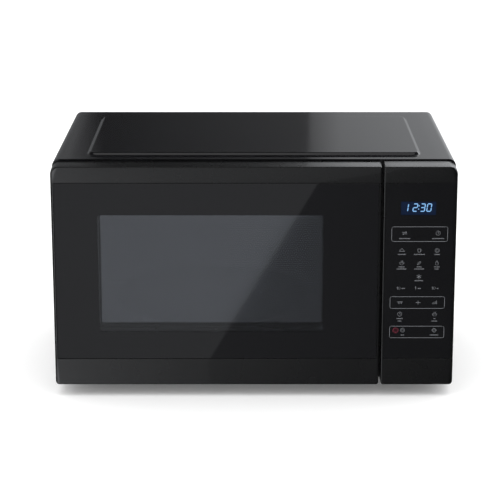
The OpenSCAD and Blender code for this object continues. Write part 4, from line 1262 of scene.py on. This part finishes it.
class Sign(Enum):
    """Plain signs on the keys, drawn as lines in a square from -1 to 1."""

    BOWL = "bowl with steam"
    COVER = "domed dish cover"
    CUP = "cup"
    PLATE = "plate"
    FLAKE = "ice star"
    CLOCK = "clock face"
    DROP = "drop"
    LEAF = "leaf"
    GRILL = "rack"
    STEPS = "rising bars"
    START = "diamond"
    SWAP = "two arrows"

    def lines(self) -> np.ndarray:
        """Draws the sign.

        Returns:
            Its lines, rows of x0, z0, x1, z1.
        """
        ring = arc_lines((0, 0), 0.85, 0, 360, 20)
        drawn = {
            Sign.BOWL: [arc_lines((0, 0.05), 0.85, 180, 360), path_lines((-1, 0.05), (1, 0.05)),
                        path_lines((-0.3, 0.35), (-0.15, 0.9)),
                        path_lines((0.3, 0.35), (0.45, 0.9))],
            Sign.COVER: [arc_lines((0, -0.3), 0.85, 0, 180),
                         path_lines((-1.1, -0.35), (1.1, -0.35)),
                         arc_lines((0, 0.72), 0.17, 0, 360, 8)],
            Sign.CUP: [path_lines((-0.7, 0.6), (-0.55, -0.7), (0.35, -0.7), (0.5, 0.6), close=True),
                       arc_lines((0.5, 0.05), 0.35, -80, 90, 8)],
            Sign.PLATE: [ring, arc_lines((0, 0), 0.45, 0, 360, 14)],
            Sign.FLAKE: [path_lines((0, -0.95), (0, 0.95)),
                         path_lines((-0.82, -0.48), (0.82, 0.48)),
                         path_lines((-0.82, 0.48), (0.82, -0.48))],
            Sign.CLOCK: [ring, path_lines((0, 0.5), (0, 0), (0.4, 0))],
            Sign.DROP: [arc_lines((0, -0.25), 0.6, 150, 390),
                        path_lines((-0.52, 0.05), (0, 0.95), (0.52, 0.05))],
            Sign.LEAF: [arc_lines((0.6, -0.6), 1.25, 95, 175),
                        arc_lines((-0.6, 0.6), 1.25, 275, 355),
                        path_lines((-0.7, -0.7), (0.3, 0.3))],
            Sign.GRILL: [path_lines((-1, 0.3), (1, 0.3)), path_lines((-0.6, 0.3), (-0.6, -0.5)),
                         path_lines((0, 0.3), (0, -0.5)), path_lines((0.6, 0.3), (0.6, -0.5))],
            Sign.STEPS: [path_lines((-0.8, -0.6), (-0.8, -0.1)),
                         path_lines((-0.3, -0.6), (-0.3, 0.2)),
                         path_lines((0.2, -0.6), (0.2, 0.5)), path_lines((0.7, -0.6), (0.7, 0.8))],
            Sign.START: [path_lines((0, -0.9), (0.9, 0), (0, 0.9), (-0.9, 0), close=True),
                         path_lines((0, -0.35), (0, 0.35))],
            Sign.SWAP: [path_lines((-0.9, 0.3), (0.8, 0.3), (0.45, 0.65)),
                        path_lines((0.9, -0.3), (-0.8, -0.3), (-0.45, -0.65))],
        }
        return np.concatenate(drawn[self])


@dataclass
class Legends:
    """Printed signs and plain ticks on the touch film, placed from its lower left corner."""

    columns: tuple[float, float, float] = (21.4, 43.7, 66.1)
    sign_half: float = 3.2
    line: float = 0.34
    ink_height: float = 0.05
    tick_pitch: float = 0.78

    def ticks(self, middle: float, height: float, count: int) -> np.ndarray:
        """Row of upright ticks of mixed height that stands where a word would be.

        Each tick's half height is a middle value plus a sine of its number.

        Args:
            middle: x of the row's middle.
            height: z of the row.
            count: number of ticks.

        Returns:
            Rows of x0, z0, x1, z1.
        """
        step = np.arange(count)
        x = middle + (step - (count - 1) / 2) * self.tick_pitch
        tall = 0.42 + 0.16 * np.sin(step * 2.3 + middle)
        return np.stack([x, height - tall, x, height + tall], 1)

    def frame_lines(self, low: tuple[float, float], high: tuple[float, float]) -> np.ndarray:
        """Rounded box line round a group of keys."""
        return self.loop(outline(low, high, 2.2, 5, 1))

    @staticmethod
    def loop(flat: np.ndarray) -> np.ndarray:
        """Closed outline as lines, rows of x0, z0, x1, z1."""
        return np.hstack([flat, np.roll(flat, -1, axis=0)])

    def signs(self) -> tuple[np.ndarray, np.ndarray]:
        """Lays out every sign, box line, time step and row of ticks.

        Returns:
            The lines in grey ink and those in crimson ink, from the film's lower left corner.
        """
        a, b, c = self.columns
        # Each key: x and z of its sign, the sign, and the count and height of the ticks under it.
        keys = [(24.5, 166.9, Sign.SWAP, 18, 159.8), (66.8, 166.9, Sign.CLOCK, 20, 159.8),
                (a, 144.2, Sign.COVER, 13, 139.0), (b, 144.2, Sign.CUP, 18, 139.0),
                (c, 144.2, Sign.PLATE, 9, 139.0), (a, 127.7, Sign.BOWL, 10, 122.6),
                (b, 127.7, Sign.LEAF, 8, 122.6), (c, 127.7, Sign.DROP, 9, 122.6),
                (b, 109.6, Sign.FLAKE, 14, 104.4), (20.3, 75.3, Sign.GRILL, 0, 0),
                (64.8, 75.3, Sign.STEPS, 0, 0), (20.3, 59.9, Sign.CLOCK, 10, 53.9),
                (64.8, 59.9, Sign.BOWL, 3, 53.9), (24.3, 38.4, Sign.PLATE, 6, 31.9),
                (64.8, 38.4, Sign.START, 14, 31.9)]
        grey = []
        for x, z, sign, count, under in keys:
            grey.append(sign.lines() * self.sign_half + np.array([x, z, x, z]))
            if count:
                grey.append(self.ticks(x, under, count))
        grey += [self.ticks(a, 119.8, 16), self.ticks(b, 119.8, 16), self.ticks(c, 119.8, 7),
                 self.ticks(20.3, 50.6, 6), self.ticks(64.8, 50.6, 9)]
        for x, nought, unit in ((a, True, 6), (b, False, 5), (c, True, 3)):
            left = x - (4.6 if nought else 3.6)
            grey.append(path_lines((left, 92.8), (left, 96.4), (left - 0.8, 95.6)))
            if nought:
                grey.append(self.zero(left + 2.3, 94.6))
            grey.append(self.ticks(left + (5.0 if nought else 2.4) + unit * self.tick_pitch / 2,
                                   94.0, unit))
        grey += [self.frame_lines((8.1, 156.0), (78.8, 175.1)),
                 self.frame_lines((7.6, 67.5), (77.2, 83.1)),
                 self.frame_lines((7.7, 28.2), (77.4, 43.7)),
                 path_lines((40.6, 75.3), (46.2, 75.3)), path_lines((43.4, 72.9), (43.4, 77.7))]
        red = [arc_lines((15.3, 38.2), radius, 0, 360, 20) for radius in (0.4, 1.2, 2.0, 2.8, 3.6)]
        return np.concatenate(grey), np.concatenate(red)

    @staticmethod
    def zero(x: float, z: float) -> np.ndarray:
        """Narrow nought."""
        return Legends.loop(outline([x - 1.0, z - 1.8], [x + 1.0, z + 1.8], 0.8, 3, 1))

    def solid(self, lines: np.ndarray, corner: np.ndarray, front: float) -> Solid:
        """Lines as flat bars of ink.

        A bar's corners are its ends, moved half a line's width along it and half to either side.
        The start moves a little less, so that bars that meet at a right angle share no corner.

        Args:
            lines: rows of x0, z0, x1, z1 from the corner.
            corner: x and z of the film's lower left corner.
            front: y of the film's face.

        Returns:
            Points and faces.
        """
        start, end = lines[:, :2] + corner, lines[:, 2:] + corner
        along = (end - start) / np.linalg.norm(end - start, axis=1, keepdims=True) * self.line / 2
        across = np.stack([-along[:, 1], along[:, 0]], 1)
        back = 0.9 * along
        flat = np.stack([start - back - across, end + along - across, end + along + across,
                         start - back + across], 1)
        both = [np.stack([flat[..., 0], np.full(flat.shape[:2], y), flat[..., 1]], -1)
                for y in (front + 0.02, front - self.ink_height)]
        return np.concatenate(both, axis=1).reshape(-1, 3), box_faces(len(lines))


@dataclass
class ControlPanel(SubAssembly):
    """Moulded housing, smooth touch film with printed legends, and the lit clock."""

    nodes: tuple[str, ...] = ("display_segments", "touch_board", "power_board")
    legends: Legends = field(default_factory=Legends)

    def housing(self) -> None:
        """Moulded housing with a shallow recess for the film and an opening for the clock."""
        low, high = mm_box("panel_housing")
        film_low, film_high = mm_box("panel_overlay")
        lens_low, lens_high = mm_box("display_lens")
        shape = Moulding(low, high, (3, 4.5, 10, 1.5), (2, 3, 7, 2), Side.RIGHT,
                         (film_low[[0, 2]] - 0.4, film_high[[0, 2]] + 0.4, 1.2, 1.0),
                         (lens_low[[0, 2]] - 0.7, lens_high[[0, 2]] + 0.7, 0.3),
                         wall=2.5, front_wall=3.2, back_soft=1.2)
        made = piece("panel_moulding", shape.solid(), [FINISHES["panel_abs"]], "cabinet")
        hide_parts("panel_housing")

    def film(self) -> None:
        """Touch film with a softly rolled edge and a window for the clock."""
        low, high = mm_box("panel_overlay")
        lens_low, lens_high = mm_box("display_lens")
        edge = outline(low[[0, 2]], high[[0, 2]], 1.2, 6, 6)
        eased = outline(low[[0, 2]] + 0.3, high[[0, 2]] - 0.3, 1.0, 6, 6)
        window = outline(lens_low[[0, 2]] - 0.1, lens_high[[0, 2]] + 0.1, 0.3, 6, 6)
        rings = [ring_y(edge, high[1]), ring_y(edge, low[1] + 0.3), ring_y(eased, low[1]),
                 ring_y(window, low[1]), ring_y(window, high[1])]
        made = piece("touch_film", loft(rings, close=True), [KEY_FILM], "cabinet")
        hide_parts("panel_overlay")

    def clock(self) -> None:
        """Smoked lens over the clock with ground edges."""
        low, high = mm_box("display_lens")
        edge = outline(low[[0, 2]], high[[0, 2]], 0.4, 4, 4)
        eased = outline(low[[0, 2]] + 0.2, high[[0, 2]] - 0.2, 0.3, 4, 4)
        solid = loft([ring_y(edge, high[1]), ring_y(edge, low[1] + 0.2), ring_y(eased, low[1])])
        made = piece("clock_lens", solid, [FINISHES["smoked_lens"]], "cabinet")
        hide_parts("display_lens")

    def print_legends(self) -> None:
        """Prints the signs on the film in grey and crimson ink."""
        low, _ = mm_box("panel_overlay")
        grey, red = self.legends.signs()
        for name, lines, ink in (("legends_grey", grey, INK), ("legends_crimson", red, INK_RED)):
            solid = self.legends.solid(lines, low[[0, 2]], low[1])
            made = piece(name, solid, [ink], "cabinet")

    def build(self) -> None:
        """Builds the panel's new pieces and dresses the rest."""
        self.housing()
        self.film()
        self.clock()
        self.print_legends()
        self.dress()


# ---------------------------------------------------------------------------------------------
# Inside
# ---------------------------------------------------------------------------------------------

@dataclass
class Turntable(SubAssembly):
    """Glass tray on a roller ring, turned by a hub on the motor's shaft."""

    nodes: tuple[str, ...] = ("roller_ring", "roller_1", "roller_2", "roller_3",
                              "turntable_coupler", "turntable_motor")
    steps: int = 128
    base_up: float = 5.0
    ridges_deg: tuple[float, float, float] = (60.0, 180.0, 300.0)

    def tray(self) -> None:
        """Pressed glass tray: a smoothed profile turned about the axis, and three drive ridges."""
        low, high = mm_box("glass_tray")
        centre, radius = (low + high)[:2] / 2, (high[0] - low[0]) / 2
        base = low[2] + self.base_up
        profile = np.array([
            [0, 0], [20, 0], [radius - 22, 0], [radius - 15, 1.5], [radius - 3, 9],
            [radius, 10.3], [radius, 13.3], [radius - 2, 13.5], [radius - 5, 12.5],
            [radius - 18, 5.5], [radius - 24, 4.2], [60, 4.2], [58.5, 3.8], [57, 4.2],
            [30, 4.2], [0, 4.2]])
        solid = lathe(smoothed(profile) + [0, base], centre, self.steps)
        turn = np.radians(self.ridges_deg)
        out = np.stack([np.cos(turn), np.sin(turn)], 1)
        side = np.stack([-np.sin(turn), np.cos(turn)], 1)
        corners = [(11, -2.4), (18, -2.4), (18, 2.4), (11, 2.4)]
        flat = np.stack([centre + out * a + side * b for a, b in corners], 1)
        ridges = np.concatenate([np.concatenate([flat, np.full((*flat.shape[:2], 1), height)], -1)
                                 for height in (low[2], base + 0.2)], axis=1).reshape(-1, 3)
        made = piece("turntable_tray", joined(solid, (ridges, box_faces(3))),
                     [FINISHES["tray_glass"]], "tray", smooth=45)
        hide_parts("glass_tray")

    def build(self) -> None:
        """Builds the tray and dresses the rest."""
        self.tray()
        self.dress()


@dataclass
class CookingChamber(SubAssembly):
    """Enamelled chamber with its lamp, waveguide and thermal cut-outs."""

    nodes: tuple[str, ...] = ("cavity_liner", "waveguide", "waveguide_cover", "lamp_holder",
                              "oven_lamp", "thermal_cutouts")


@dataclass
class PowerUnit(SubAssembly):
    """High-voltage parts, noise filter and the fan that cools them."""

    nodes: tuple[str, ...] = ("magnetron", "transformer_core", "transformer_windings",
                              "capacitor", "capacitor_clamp", "high_voltage_diode",
                              "noise_filter", "fan_motor", "fan_shroud", "fan_blade")


@dataclass
class SafetyLatch(SubAssembly):
    """Latch board with its three snap switches."""

    nodes: tuple[str, ...] = ("latch_board", "primary_switch", "monitor_switch",
                              "secondary_switch", "primary_plunger", "monitor_plunger",
                              "secondary_plunger")


def main() -> None:
    """Builds the studio, then each sub-assembly in order."""
    logging.basicConfig(level=logging.INFO, format="%(name)s: %(message)s")
    Studio().build()
    for assembly in (Cabinet(), Door(), ControlPanel(), Turntable()):
        assembly.build()
    for assembly in (CookingChamber(), PowerUnit(), SafetyLatch()):
        assembly.dress()
    bpy.context.view_layer.update()


if __name__ == "__main__":
    main()
